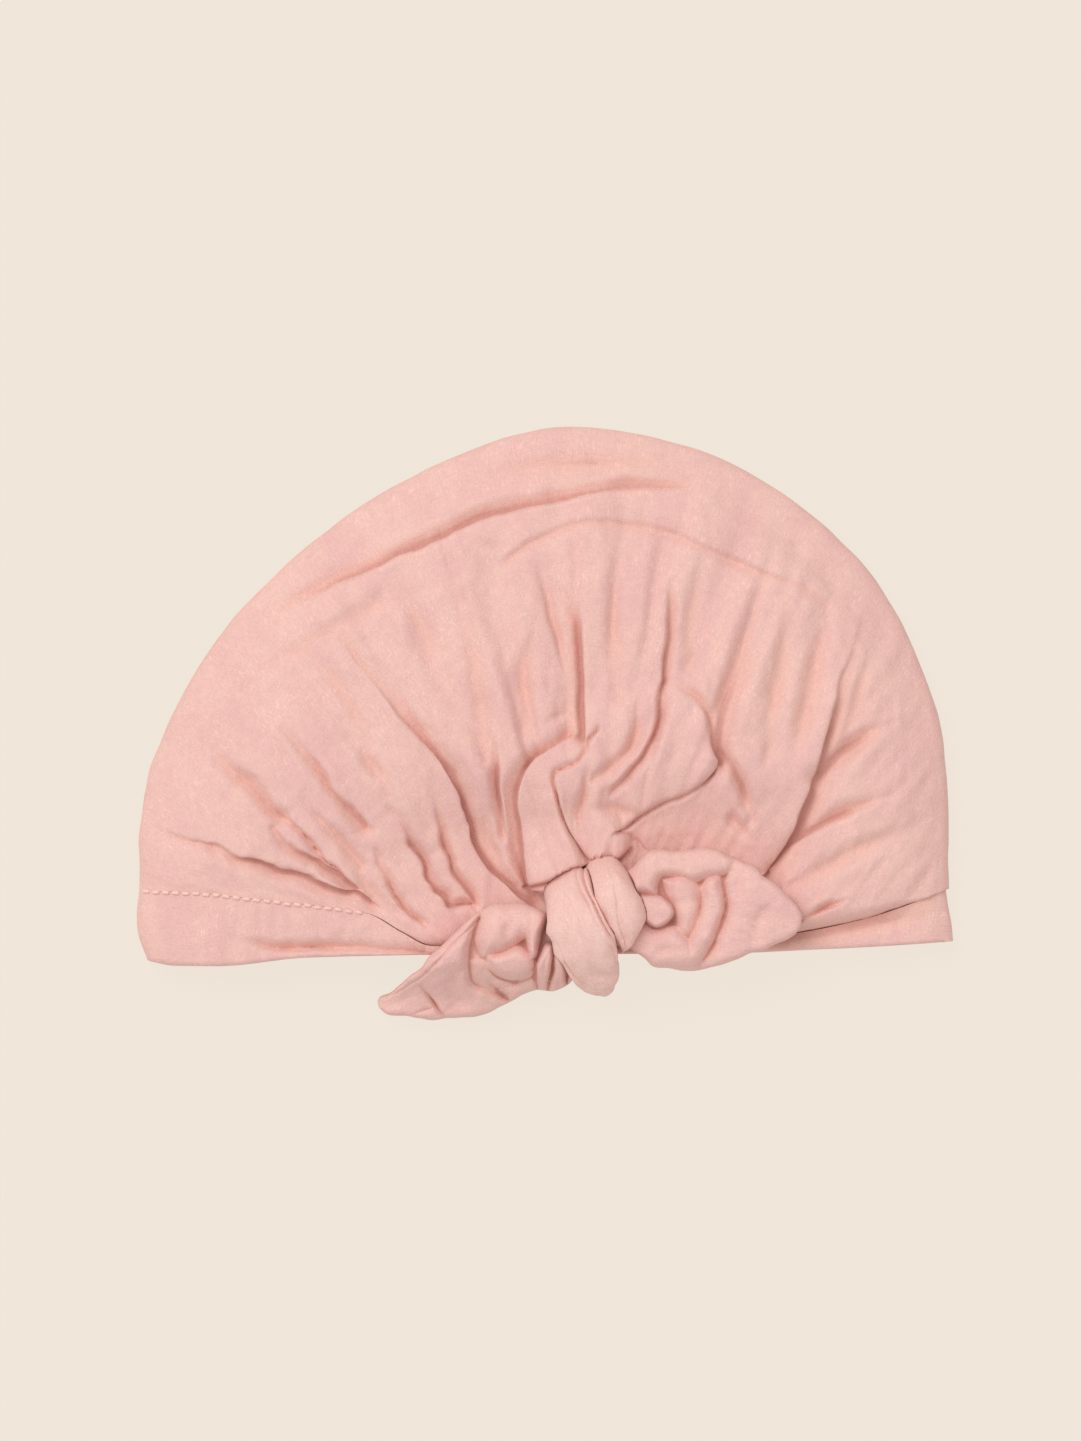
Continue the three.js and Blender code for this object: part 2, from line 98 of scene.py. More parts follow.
# The crown's lower edge: sewn to the band on the left, then lapping over it by a step
LOWER_EDGE = [
    (-99, -41), (-84, -41.5), (-67, -43.3), (-52, -45), (-43, -46.5), (-35, -51), (-28, -54.3), (-15, -54.6),
    (0, -54.6), (38, -53.8), (62, -51.2), (79, -47.5), (99, -40.5),
]
BAND_STEP = [(-99, 0), (-47, 0), (-37, 0.2), (-28, 0.9), (0, 2.2), (60, 4), (80, 3.6), (99, 1.6)]
HEM_EDGE = [
    (-100, -57.5), (-90, -59.3), (-80, -59.3), (-58, -57.2), (-30, -56.6), (40, -56.4),
    (70, -55.2), (100, -53.4),
]
BAND_ENDS = {"left": [-99.4, -100, -99.6, -97.4], "right": [98.2, 98.8, 99.6, 100]}

# The crown dips towards the knot, where its cloth is drawn together
KNOT_X = 11.0
THROAT = {"height": 12.5, "half_width": 58, "full": -33, "none": -8}
GATHER = 2.2  # how strongly its pleat lines close up towards the knot

# Where the crown's pleats set in or end: by share of the way from the knot, by distance from the outline,
# and by share of the outline from its middle
PLEAT_FADES = {
    "knot": (0.2, 0.5), "outline": (5, 20), "rim": (4, 10), "rim_end": (-30, -16), "sides": (0.2, 0.36),
    "top": (0.22, 0.33),
}
CALMER = 0.65  # how much softer they are at the crown's sides
CREASED_ROUND = 0.288  # how round the bottom of a creased pleat is
OUTLINE_ENDS = 0.03  # the outline evens out over this share of it at each end
SEAM_FLAT = 4.0  # the crinkle is pulled flat this near to the seam
TURN_FLAT = 3.0  # and this near to the side fold

# How the crown's lower edge rolls down onto the band, and the band's own edges
EDGE_ROLL = {"least": 1.2, "per_step": 1.5, "fade": 4.0, "shade": 0.6}
STEP_SHADE = {"share": 0.95, "reach": 6.0}
HEM_RIM = {"drop": 1.1, "radius": 1.4}
HEM_THIN = {"share": 0.13, "least": 1.2}  # the band thins a little into its side folds


class Fold(NamedTuple):
    """A crease along a path, with its depth at the start, middle and end."""

    path: list
    depth: tuple
    left: float  # how wide the cloth slopes into it, on the left as seen walking along the path
    right: float
    lap: float = 0.0  # how far the left side, or the right if negative, laps over the crease


class Swell(NamedTuple):
    """A rounded rise along a path, with its height at the start, middle and end."""

    path: list
    height: tuple
    reach: float


class Puff(NamedTuple):
    """A bulge of bunched cloth inside an outline: its height, and how far in its rounded edge reaches."""

    outline: list
    height: float
    edge: float


class Section(NamedTuple):
    """One section of a strip: its edge points, left and right as the strip runs, and its thickness."""

    left: tuple
    right: tuple
    thick: float
    crest: float = 0.0  # the height of its top, for a turn of the knot


class Waves(NamedTuple):
    """Random hills and hollows of the cloth: how wide and long one is, and how high."""

    wide: float
    long: float
    height: float
    seed: int

    def at(self, u, v, bend_u=0.0, bend_v=0.0):
        return self.height * lattice_noise(u / self.wide + bend_u, v / self.long + bend_v, self.seed)


# Fold lines, the puffs and the outline are a little uneven
SWAY = [Waves(5, 5, 1, 11), Waves(2, 2, 0.3, 12)]
NOD = [Waves(5, 5, 1, 13), Waves(2, 2, 0.3, 14)]
PUFF_SWAY = Waves(3, 3, 0.3, 31)
PUFF_NOD = Waves(3, 3, 0.3, 37)
OUTLINE_WAVES = Waves(1 / 55, 1, 0.25, 29)  # by share of the outline

# The gauze's own crinkle, and the crown's soft pleats
WARP = Waves(9, 9, 1.2, 3)
BLISTERS = Waves(4.5, 7, 0.4, 5)
STREAKS = Waves(2.1, 10, 0.3, 7)
STREAK_BEND = -0.4  # how far the warp bends the streaks
PUCKERS = Waves(1.8, 2.4, 0.13, 9)
BROAD_PLEATS = Waves(11, 60, 1.3, 17)
CREASED_PLEATS = Waves(6.5, 40, 2.4, 19)
RIM_PLEATS = Waves(48, 4.5, 1.1, 23)

# The folds of the crown, by where they lie, then its swells and the band's folds
LEFT_FOLDS = [
    Fold([(-94.5, -25), (-85, -29.2), (-79.8, -30.2), (-75.2, -31.7), (-71.2, -33), (-66.5, -33.8),
          (-62.6, -35.3), (-58.6, -36.7), (-54.6, -38.7), (-49.9, -40), (-45.9, -40.7), (-42.6, -42.6)],
         (1.6, 4.8, 4.8), 1.7, 5, 1.2),
    Fold([(-83, -4), (-79.2, -9.4), (-74.5, -12.4), (-71.2, -15.1), (-67.9, -19), (-63.5, -22)],
         (0.6, 3.2, 3.4), 2.6, 4),
    Fold([(-64.5, -21), (-60.6, -25.4), (-57.9, -27.7), (-55.2, -30.3), (-53.3, -33), (-49.4, -36)],
         (2.6, 4.8, 3.8), 1.5, 1.9, 0.7),
    Fold([(-65.6, -25), (-63.2, -28.4), (-59.9, -30.7), (-55.9, -32.7), (-52.6, -35), (-48.6, -36.9),
          (-45.6, -38.8)], (2, 4.6, 5), 1.5, 3, 0.7),
    Fold([(-58.6, -17.7), (-56.6, -21.7), (-53.3, -25), (-49.9, -28.4), (-47.9, -31), (-44.6, -33.7)],
         (0.4, 3, 2.6), 2, 2.6, 0.4),
    Fold([(-66, 3), (-59, -6), (-53.4, -12.4), (-48, -20), (-44, -24.5)], (0.6, 3.6, 4.2), 1.7, 4.5, 0.8),
    Fold([(-48, -27), (-44.5, -26), (-40.5, -26.8)], (0.4, 2, 0.4), 1.3, 1.6),
    Fold([(-41.9, -31), (-39.3, -35.7), (-37.3, -39.7), (-35.3, -43.7), (-32, -47.6), (-30, -49.3)],
         (1.2, 4.8, 3.4), 2.4, 1.5, -0.8),
    Fold([(-47.5, -31), (-44, -37), (-40, -42.5), (-36, -46.5)], (0.2, 2.2, 0.8), 2.6, 2.6),
    Fold([(-66, 25), (-50, 8), (-41.5, -5.5)], (0.2, 1.8, 1), 5, 3),
    Fold([(-47, -3), (-42, -10), (-37.5, -17)], (0.3, 2.2, 0.8), 3.5, 2.8),
    Fold([(-37.4, -21), (-34, -25.7), (-33, -29), (-31.3, -33), (-30, -37.7), (-27.3, -41), (-25.3, -42.6),
          (-23.6, -45), (-18, -45.6)], (1, 6, 6.5), 2.8, 1.6, -1.4),
    Fold([(-28, -16.5), (-27, -21), (-26, -25.7), (-25.3, -29.7), (-24, -33.7), (-23.4, -36.3),
          (-20.4, -39.6), (-17.5, -44)], (0.6, 4.6, 5.2), 2.6, 1.6, -1),
    Fold([(-50, 21), (-41.5, 9.8), (-34, 0), (-27.7, -6.6), (-25.3, -10), (-22.7, -13.7), (-21, -17.7),
          (-20.3, -21.6), (-18.7, -26.7), (-16.5, -31.7), (-13.7, -36.2), (-9.7, -40.1), (-4, -44.4)],
         (1.6, 6, 7), 6, 1.6, -1.6),
    Fold([(-12.2, -5), (-11.4, -10), (-10.9, -15.4), (-10.6, -21), (-9.8, -27.4)],
         (1.5, 6, 2.5), 1.5, 3.4, 0.8),
    Fold([(-15, -20), (-14.5, -27), (-11, -35)], (0.2, 2.4, 1.8), 2.6, 2.6),
]
MIDDLE_FOLDS = [
    Fold([(6, -4), (0.5, -7), (-3.9, -11.3), (-5.8, -17.9), (-5.2, -26.7), (-4.1, -35.5), (-2.4, -41)],
         (3.4, 6.5, 7), 1.5, 5, 1.8),
    Fold([(5.5, 31), (7.6, 27), (9, 20.5), (9.5, 10.5), (9.5, 0), (10.2, -3)], (1.2, 4.8, 5.5), 1.5, 7.5, 1),
    Fold([(-1.6, 36), (0.5, 28), (3, 19.5), (5.5, 9)], (1, 2.6, 0.6), 4, 1.8, -0.5),
    Fold([(-1, 0), (3.5, 1.8), (8, 1.4)], (0.5, 2.2, 0.5), 1.2, 1.4),
    Fold([(11, -20.4), (14.4, -20), (19.6, -20.6), (23, -21.4)], (0.4, 1.6, 0.4), 1.4, 2.6),
    Fold([(13.6, -1.4), (11.8, -5), (7.5, -10), (2.5, -13), (3.4, -18), (4.8, -23), (6.8, -27.8),
          (9.4, -31.4), (12.6, -33.3)], (3, 4.6, 4.6), 1.5, 1.7, 1),
    Fold([(-4.5, -39.4), (1, -38.6), (6, -36.2), (12, -33.8), (15.6, -33.8), (18.6, -32.7), (20, -31.2)],
         (5, 6, 4), 1.5, 2.4, 1),
    Fold([(30.5, 34), (29.5, 23), (28, 10.5)], (0.8, 4, 4.2), 4, 1.5, -0.8),
    Fold([(28, 10.5), (27, 0.5), (23.5, -8), (16.5, -15.5)], (4, 5.4, 3), 2.8, 1.8, -0.6),
    Fold([(22, 4.5), (21, -3.5), (17, -9), (12, -13)], (0.8, 3.6, 2.6), 3.4, 2.2),
    Fold([(10.8, -12.5), (10, -17), (9, -22), (9.8, -26.5)], (1, 3, 0.6), 2, 2.4),
    Fold([(11, -20.5), (16.5, -20), (19.5, -21)], (0.3, 2, 0.3), 2.2, 2.2),
    Fold([(30.7, 10.7), (34.1, 7.4), (37.4, 4.9), (39.5, 0.8), (40.3, -5.1), (41.6, -9.2)],
         (1, 3.6, 5.6), 3.4, 1.8, -0.8),
    Fold([(41.6, -9.2), (41.2, -11.7), (39.1, -13.8), (33.2, -17.6), (28.2, -19.7), (23.2, -22.6),
          (17.5, -25.8)], (5.6, 3.6, 5), 1.5, 1.8, -1.2),
    Fold([(17.5, -25.8), (20.5, -26.8), (24.5, -31)], (5, 4.6, 2.5), 1.4, 1.8, 0.6),
]
RIGHT_FOLDS = [
    Fold([(51, 30), (47.5, 15), (43.4, 4), (41.6, -4), (41.8, -9)], (0.5, 3.8, 6), 6, 3.5),
    Fold([(43, -7), (45.6, -11), (47.6, -15), (49, -19), (49.9, -24)], (3, 5, 0.8), 2.6, 2.8),
    Fold([(44.5, -20), (46, -24.5), (50, -28.5)], (0.2, 2.4, 0.3), 2.6, 2.6),
    Fold([(77, 24), (72, 10.5), (68.5, -1.5), (64.5, -15), (59.5, -27.5), (54, -36)],
         (0.6, 4.8, 6.5), 8, 1.7, -1.6),
    Fold([(84.5, -17.5), (74.5, -22), (62.5, -28), (54.5, -35.5)], (0.5, 4.5, 7), 1.8, 5.5, 0.8),
    Fold([(84.5, 0), (74.5, -5.5), (65, -13)], (0.4, 4, 4.5), 4, 4),
    Fold([(92, -24), (80, -29), (68, -35), (60, -40)], (0.2, 2.2, 1.2), 4.5, 3.5),
    Fold([(73, -43.6), (68, -45.4), (62, -48.4)], (0.8, 3.6, 2), 1.5, 2.4, 0.6),
    Fold([(68.5, 26.5), (66, 15.5), (62.5, 0.5), (60, -10.5)], (0.4, 2.6, 0.6), 4, 4),
    Fold([(79, 17), (75.5, 5), (71.5, -6)], (0.3, 2.4, 0.6), 3.5, 3.5),
]
TOP_FOLDS = [
    Fold([(-84, 13), (-74, 21.5), (-60, 29.4), (-45.7, 35.9), (-25.7, 44.5), (-14.4, 49.6), (-6.4, 51.8),
          (8.9, 55), (19.5, 57), (34, 57)], (1, 5.2, 3.4), 5.5, 1.4, -0.8),
    Fold([(-9.4, 40), (-3.8, 43.8), (0.9, 46.1), (6.2, 48.1), (11.5, 48.8), (18.2, 48.6), (26.2, 47.4),
          (33.1, 45.2), (40.2, 41.9), (47.4, 38.8), (54.6, 35.9), (61.7, 33.7), (69, 29)],
         (1.8, 1.7, 1.4), 1, 2.6),
    Fold([(-20, 59.6), (-2.7, 63.1), (14.5, 64.5), (31.6, 64.5), (43.1, 63.1), (52, 58)], (1, 6, 2), 3, 5),
    Fold([(-30.5, 49.5), (-11, 57), (13.5, 61), (38, 61)], (0.3, 1.2, 0.3), 4, 3.5),
    Fold([(-77, 5.5), (-62.5, 16.5), (-45.5, 26.5), (-28, 32.5)], (0.2, 1.6, 0.4), 5, 5),
    Fold([(16.5, 38.5), (16.5, 20.5), (17.5, 5.5)], (0.5, 2, 1.2), 4, 4),
    Fold([(-2.5, 24), (-5, 12), (-4.5, -1.5)], (0.3, 2, 1.2), 4, 4),
    Fold([(-22, 32), (-16.5, 10.5), (-14, -9)], (0.5, 2, 1.2), 4, 4),
    Fold([(38, 40), (35.5, 25), (35, 13)], (0.5, 2, 1.2), 4, 4),
    Fold([(59, 32), (56.5, 10.5), (54, -9)], (0.5, 2, 1.2), 4, 4),
    Fold([(-36, 36), (-30, 22), (-25, 8)], (0.5, 1.8, 0.6), 4, 4),
]
CROWN_FOLDS = LEFT_FOLDS + MIDDLE_FOLDS + RIGHT_FOLDS + TOP_FOLDS
CROWN_SWELLS = [
    Swell([(1, -10), (-1, -22), (3, -36)], (0.5, 2.5, 7), 8),
    Swell([(16, 0), (9, -14), (9.5, -23), (13.5, -29.5)], (0.5, 3, 5), 9),
    Swell([(33, 4), (33, -6), (24, -14)], (1.5, 3, 1.5), 11),
]
BAND_FOLDS = [
    Fold([(-76, -52.4), (-70.7, -54.3), (-64, -54.9), (-53.5, -55.1), (-47.3, -55), (-30, -56)],
         (0.5, 3, 1.6), 3, 1.3, -0.4),
    Fold([(75, -50.5), (86, -48.5), (98, -46.5)], (0.3, 0.8, 0.3), 3, 3),
]

# Strips of the knot and bow, from their roots
EAR_LEFT = [
    Section((7, -61.8), (7, -48.5), 4),
    Section((4.6, -64.8), (1.6, -47.5), 5),
    Section((-4, -66.2), (-3, -44.8), 5.5),
    Section((-12, -70.2), (-10.5, -44), 5.5),
    Section((-19, -72), (-17, -46.3), 5.5),
    Section((-26, -72.6), (-24, -53), 5.5),
    Section((-33, -72.2), (-31, -60), 5),
    Section((-38, -71.6), (-37, -65), 4.5),
    Section((-40.4, -70.3), (-40, -66.8), 3.5),
    Section((-41, -69.2), (-40.9, -68), 2.5),
]
EAR_RIGHT = [
    Section((12, -42.5), (12, -51), 5),
    Section((20.6, -36.2), (20, -54.5), 5.5),
    Section((25, -31.4), (26, -59), 6),
    Section((32, -30.8), (33, -60.3), 6),
    Section((40, -30.6), (39, -59.8), 6),
    Section((48.5, -34), (47.5, -57.2), 6),
    Section((56, -39.4), (56, -53.8), 5),
    Section((60.3, -43.6), (60, -51.6), 4.5),
    Section((61.7, -46), (61.7, -49.2), 3.5),
    Section((62, -47), (62, -48.2), 2.5),
]
KNOT_WRAP = [
    Section((10.3, -35.1), (-1.2, -40.4), 3.9, 17.6),
    Section((11.6, -40), (-0.4, -44.5), 5.5, 25),
    Section((14.6, -47.4), (0.4, -50.4), 6, 29),
    Section((17.6, -53.8), (2, -55.8), 6, 28),
    Section((17.8, -59.6), (4.4, -60.6), 5.5, 23.5),
    Section((17.2, -63.2), (6.2, -63.6), 5, 17),
    Section((17, -64.5), (8, -64.9), 4, 11),
    Section((15.8, -63.4), (8.8, -63.8), 3.5, 6.5),
    Section((15.2, -60), (9.6, -60.4), 3, 4.5),
]
KNOT_LOOP = [
    Section((19.3, -32.9), (8.7, -34.4), 3.8, 17.2),
    Section((22.6, -39), (10.4, -39.8), 5.5, 26),
    Section((24.6, -46), (13.2, -47), 6, 29),
    Section((23.4, -51.6), (16.4, -53), 5, 26),
    Section((20, -54.6), (17.6, -55), 3, 20),
]
WRAP_SAG = {"left": 1.0, "right": 3.4}  # how far a turn's edges lie below its crest
LOOP_SAG = {"left": 4.5, "right": 4.0}
STRIP_EDGE = {"pitch": 3.4, "sway": 0.4}  # how uneven the strips' edges are
SQUARENESS = 4.6  # sections of the strips: 2 is an ellipse, more is squarer
SAG_BEND = 2.5  # how suddenly a turn's edges bend down
PUFF_BEND = 2.2  # how suddenly a puff rounds off at its edge
LEAST_SWELL = 0.15  # share of its thickness that an ear keeps under a fold
BARE = {"shade": 0.8, "below": 3.0}  # the shade between the puffs
UNDER_SHADE = {"most": 3, "over": (-0.3, 0.6)}  # on the strips' undersides
HOLLOW_SHADES = [(2.2, 30), (0.5, 200)]  # in their hollows: how strong, and how many smoothings show them

EAR_PUFFS = [
    Puff([(-16.2, -47), (-14.5, -42.5), (-8, -41.5), (-2, -42), (1.5, -46), (-1.6, -52.4), (-5.2, -53.4),
          (-7.4, -55), (-10.8, -56.4), (-15.4, -56.6), (-17.2, -52)], 5.4, 5.2),
    Puff([(-14.6, -56), (-10.8, -55), (-7.2, -53.8), (-4, -54.8), (-2, -57.5), (-3, -61.8), (-7.4, -63.4),
          (-11.4, -62.4), (-14.2, -59.8)], 4.4, 3.2),
    Puff([(-4.6, -45), (-1, -43), (1, -46.5), (-0.2, -51), (-1.4, -56), (-3.2, -57.4), (-4.4, -55),
          (-5, -51)], 6, 2.2),
    Puff([(-1.6, -56.7), (0.2, -53.4), (2.5, -54), (1.7, -59.5), (0.6, -65), (-1.4, -66),
          (-2.4, -59.8)], 5.2, 1.3),
    Puff([(2.1, -54), (4.4, -57), (5.2, -60.5), (5.2, -66), (0.9, -66), (1.8, -59.5)], 4.9, 1.3),
    Puff([(4.6, -56), (9, -55), (9, -66), (5.9, -65), (5.6, -60)], 4.4, 1.2),
    Puff([(-14.4, -44), (-15.5, -47), (-16.9, -50), (-17.5, -53), (-18.2, -56), (-18.4, -60), (-17.4, -63),
          (-13.6, -65), (-10.4, -66.6), (-7, -69), (-10, -74), (-20, -76), (-32, -76), (-43, -74), (-45, -68),
          (-38, -60), (-28, -52), (-20, -44.5)], 4.2, 2.8),
    Puff([(-13, -64.6), (-8, -64), (-3, -62), (-1.6, -65), (-6, -70), (-10.5, -67.4)], 2.6, 2.4),
    Puff([(-18.6, -57), (-12, -57), (-8, -61), (-8, -66), (-13, -67), (-18.4, -64)], 1.3, 3.4),
    Puff([(19.5, -42), (23.5, -42.4), (27.2, -42), (27.6, -39.4), (28.6, -37.6), (32, -38), (36.5, -38.9),
          (41, -38), (46, -35.6), (47, -31), (40, -28), (34, -28), (28, -28), (22, -30),
          (19.6, -36)], 4.6, 3.4),
    Puff([(22.8, -41.6), (23.2, -45), (24, -47.8), (26.8, -50), (29.4, -48.8), (31.3, -46.6), (30.6, -44),
          (28, -41.6)], 5.2, 1.1),
    Puff([(27.8, -37.5), (29.6, -43.5), (31, -47.6), (32, -51), (35.6, -52), (38, -47), (38.4, -41),
          (37, -37.5), (32, -36.5)], 3.4, 4.2),
    Puff([(37.2, -39.6), (37.4, -44), (35.9, -49), (34, -53), (33.6, -57.5), (37, -59), (40.2, -55),
          (42.7, -50), (44, -45), (43.6, -40.5), (42.6, -36.5), (39.3, -36.8)], 4.1, 3.2),
    Puff([(17, -53.6), (20, -60), (27.8, -63), (36, -62), (38.5, -57.2), (35.6, -52.4), (33, -49.2),
          (29.8, -48.4), (26.8, -49.4), (23.8, -47.6), (18, -49.5)], 4, 4.2),
    Puff([(43, -33), (43.6, -40), (43.7, -45), (42.3, -50), (39.5, -55.5), (36.5, -61), (44, -62), (54, -58),
          (62, -54), (65, -50), (65, -45), (60, -39), (52, -32), (46, -29.5)], 3.6, 4.5),
]
EAR_FOLDS = [
    Fold([(-30.5, -64.2), (-28, -67), (-26.3, -69.4), (-24.6, -72)], (1.2, 3.4, 2.2), 1.3, 2.2, 0.5),
    Fold([(-13.9, -57.7), (-12.9, -60.5), (-10.8, -62.2), (-7.7, -62.9), (-4.9, -62), (-2.9, -59.8)],
         (0.8, 1.8, 1.2), 1.2, 1.3),
    Fold([(-32.4, -71.4), (-29.5, -70.4), (-26.6, -69.6)], (0.4, 1.4, 0.6), 1.4, 1.2),
    Fold([(-15.8, -47.4), (-21.6, -52.8), (-27.4, -59), (-33.6, -64.4), (-38.6, -67.4)],
         (0.8, 0.9, 0.3), 0.7, 0.9),
    Fold([(-13.4, -64.2), (-10.6, -66.4), (-8.6, -69)], (1.2, 2, 0.6), 2.4, 1.6),
    Fold([(-19, -57), (-22, -62), (-22.6, -67)], (0.6, 1.2, 0.2), 4, 3),
    Fold([(0.6, -55.6), (-0.2, -59.8), (-0.6, -64)], (0.3, 0.8, 0.4), 0.8, 0.8),
    Fold([(-7.6, -47), (-9.4, -50.4), (-8.8, -53.6)], (0.2, 0.9, 0.3), 2.4, 2.4),
    Fold([(48, -35.5), (47, -40), (49, -44)], (0.2, 1.2, 0.2), 3, 3),
    Fold([(56, -43), (52, -47), (50, -54)], (0.2, 0.9, 0.2), 3, 3),
    Fold([(34.3, -31), (33.6, -33), (34.6, -35.2)], (1.2, 0.8, 0.2), 1.6, 1.6),
    Fold([(25.5, -57.6), (28.5, -55.4), (32.5, -55)], (0.2, 0.9, 0.2), 2.4, 2.4),
]
KNOT_FOLDS = [
    Fold([(9.4, -35), (9.9, -39.8), (12, -44.6), (14.7, -49.4), (16.8, -52.4), (18, -55)],
         (1, 1.6, 0.8), 0.8, 0.8, -0.3),
    Fold([(8.2, -37), (8.8, -40.6), (10.8, -45.2), (13.6, -50)], (0.3, 0.8, 0.2), 0.8, 1.2),
    Fold([(15.5, -37), (17.2, -43), (17.6, -47), (18.6, -51)], (0.2, 0.9, 1.2), 2.4, 1.6),
    Fold([(2.4, -45), (4.6, -51), (7.6, -57), (9.6, -62)], (0.2, 0.9, 0.6), 3, 3),
    Fold([(10.5, -57), (13.6, -60), (17.6, -60.6)], (0.2, 0.8, 0.3), 2.4, 2.4),
    Fold([(3, -53.4), (5, -57.6), (7.4, -61), (11, -62.8), (15, -62.4)], (0.3, 1.3, 0.3), 1.2, 1.8, 0.3),
    Fold([(14.6, -51.4), (16.6, -54.6), (17.4, -58.4)], (0.2, 1, 0.3), 1.4, 1.4),
    Fold([(4.4, -41.5), (6.6, -45.4), (7, -50)], (0.2, 0.8, 0.2), 1.8, 2.6),
]

# The seam of crown and band, where it shows
SEWN = {"from": -98.6, "to": -44}
SEAM_GAP = 0.02  # between the band and the crown's edge, less than the stitches keep from it
STITCH = {
    "pitch": 2.5, "length": 2.1, "radius": 0.48, "taper": 0.8, "sink": 0.5, "below": 0.2, "astray": 0.16,
    "sides": 8, "beads": 7, "most": 100,
}
ABOVE_ALL = 100.0  # higher than any cloth

# Colours, in linear light
PINK = (0.845, 0.53, 0.465)
MAUVE = (0.8, 0.478, 0.442)
# Painted shade for the folds: warm peach in shallow ones, dark red in the deepest creases
PAINTED_HOLLOW_SHADE = (0.83, 0.495, 0.425)
PAINTED_CREASE_SHADE = (0.64, 0.318, 0.266)
THREAD = (0.9, 0.63, 0.57)
PAINTED_LIT_KNOT_TONE = (0.86, 0.565, 0.51)  # the knot's cloth made paler: painted light on its high turns
CREAM = (0.871, 0.791, 0.701)
GROUND = {"shares": (0.065, 0.063), "glow": 0.9325}  # how much of the cream is paint, and how much is glow


def smooth_path(points, count=40):
    """Points evenly spread by number along a smooth line through given ones."""
    points = np.asarray(points, float)
    padded = np.vstack([2 * points[0] - points[1], points, 2 * points[-1] - points[-2]])
    at = np.linspace(0, len(points) - 1, count)
    row = np.minimum(at.astype(int), len(points) - 2)
    t = (at - row)[:, None]
    a, b, c, d = (padded[row + k] for k in range(4))
    return b + 0.5 * t * (c - a + t * (2 * a - 5 * b + 4 * c - d + t * (3 * (b - c) + d - a)))


def travelled(path):
    """The distance along a path to each of its points."""
    steps = np.linalg.norm(np.diff(path, axis=0), axis=1)
    return np.concatenate([[0], np.cumsum(steps)])


def evenly(path, count):
    """The same line with its points at even distances."""
    distance = travelled(path)
    at = np.linspace(0, distance[-1], count)
    return np.stack([np.interp(at, distance, path[:, k]) for k in range(path.shape[1])], axis=1)


def along(rows, x):
    """A smooth curve through a table of (x, value) rows that never overshoots them."""
    xs, values = np.asarray(rows, float).T
    secants = np.diff(values) / np.diff(xs)
    before, after = secants[:-1], secants[1:]
    same_way = before * after > 0
    mean = 2 * before * after / np.where(same_way, before + after, 1)
    slopes = np.concatenate([secants[:1], np.where(same_way, mean, 0), secants[-1:]])
    row = np.clip(np.searchsorted(xs, x) - 1, 0, len(xs) - 2)
    span = xs[row + 1] - xs[row]
    t = np.clip((x - xs[row]) / span, 0, 1)
    bend = (slopes[row] * (1 - t) - slopes[row + 1] * t) * span * t * (1 - t)
    return values[row] + (values[row + 1] - values[row]) * smoothstep(t, 0, 1) + bend


def smoothstep(x, low, high):
    t = np.clip((x - low) / (high - low), 0, 1)
    return t * t * (3 - 2 * t)


def lattice_noise(x, y, seed):
    """Smooth random values from -1 to 1, one hill or hollow to each unit."""
    table = np.random.default_rng(seed).uniform(-1, 1, (256, 256))
    column, row = np.floor(x).astype(int), np.floor(y).astype(int)
    u, v = (smoothstep(fraction, 0, 1) for fraction in (x - column, y - row))
    corner = [[table[(column + i) % 256, (row + j) % 256] for j in (0, 1)] for i in (0, 1)]
    low = corner[0][0] + u * (corner[1][0] - corner[0][0])
    high = corner[0][1] + u * (corner[1][1] - corner[0][1])
    return low + v * (high - low)


def beside(path, x, y):
    """For points near a path: how far off, in which direction, whether to its left, how far along."""
    best = np.full(x.shape, np.inf)
    off_x, off_y, left, place = (np.zeros(x.shape) for _ in range(4))
    steps = np.diff(path, axis=0)
    for index, (start, step) in enumerate(zip(path, steps)):
        dx, dy = x - start[0], y - start[1]
        t = np.clip((dx * step[0] + dy * step[1]) / (step @ step), 0, 1)
        ex, ey = dx - t * step[0], dy - t * step[1]
        nearer = ex * ex + ey * ey < best
        best = np.where(nearer, ex * ex + ey * ey, best)
        off_x, off_y = np.where(nearer, ex, off_x), np.where(nearer, ey, off_y)
        left = np.where(nearer, step[0] * ey - step[1] * ex, left)
        place = np.where(nearer, index + t, place)
    distance = np.sqrt(best)
    reach = np.maximum(distance, 1e-6)
    return distance, off_x / reach, off_y / reach, left > 0, place / len(steps)


def three_way(values, place):
    """A smooth value along a path from its start, middle and end."""
    start, middle, end = values
    first = start + (middle - start) * smoothstep(place, 0, 0.5)
    return first + (end - middle) * smoothstep(place, 0.5, 1)


def quarter(distance, width):
    """The drop of a rounded edge at a distance from it, 1 at the edge."""
    wall = 1 - np.clip(distance / width, 0, 1)
    return 1 - np.sqrt(1 - wall * wall)


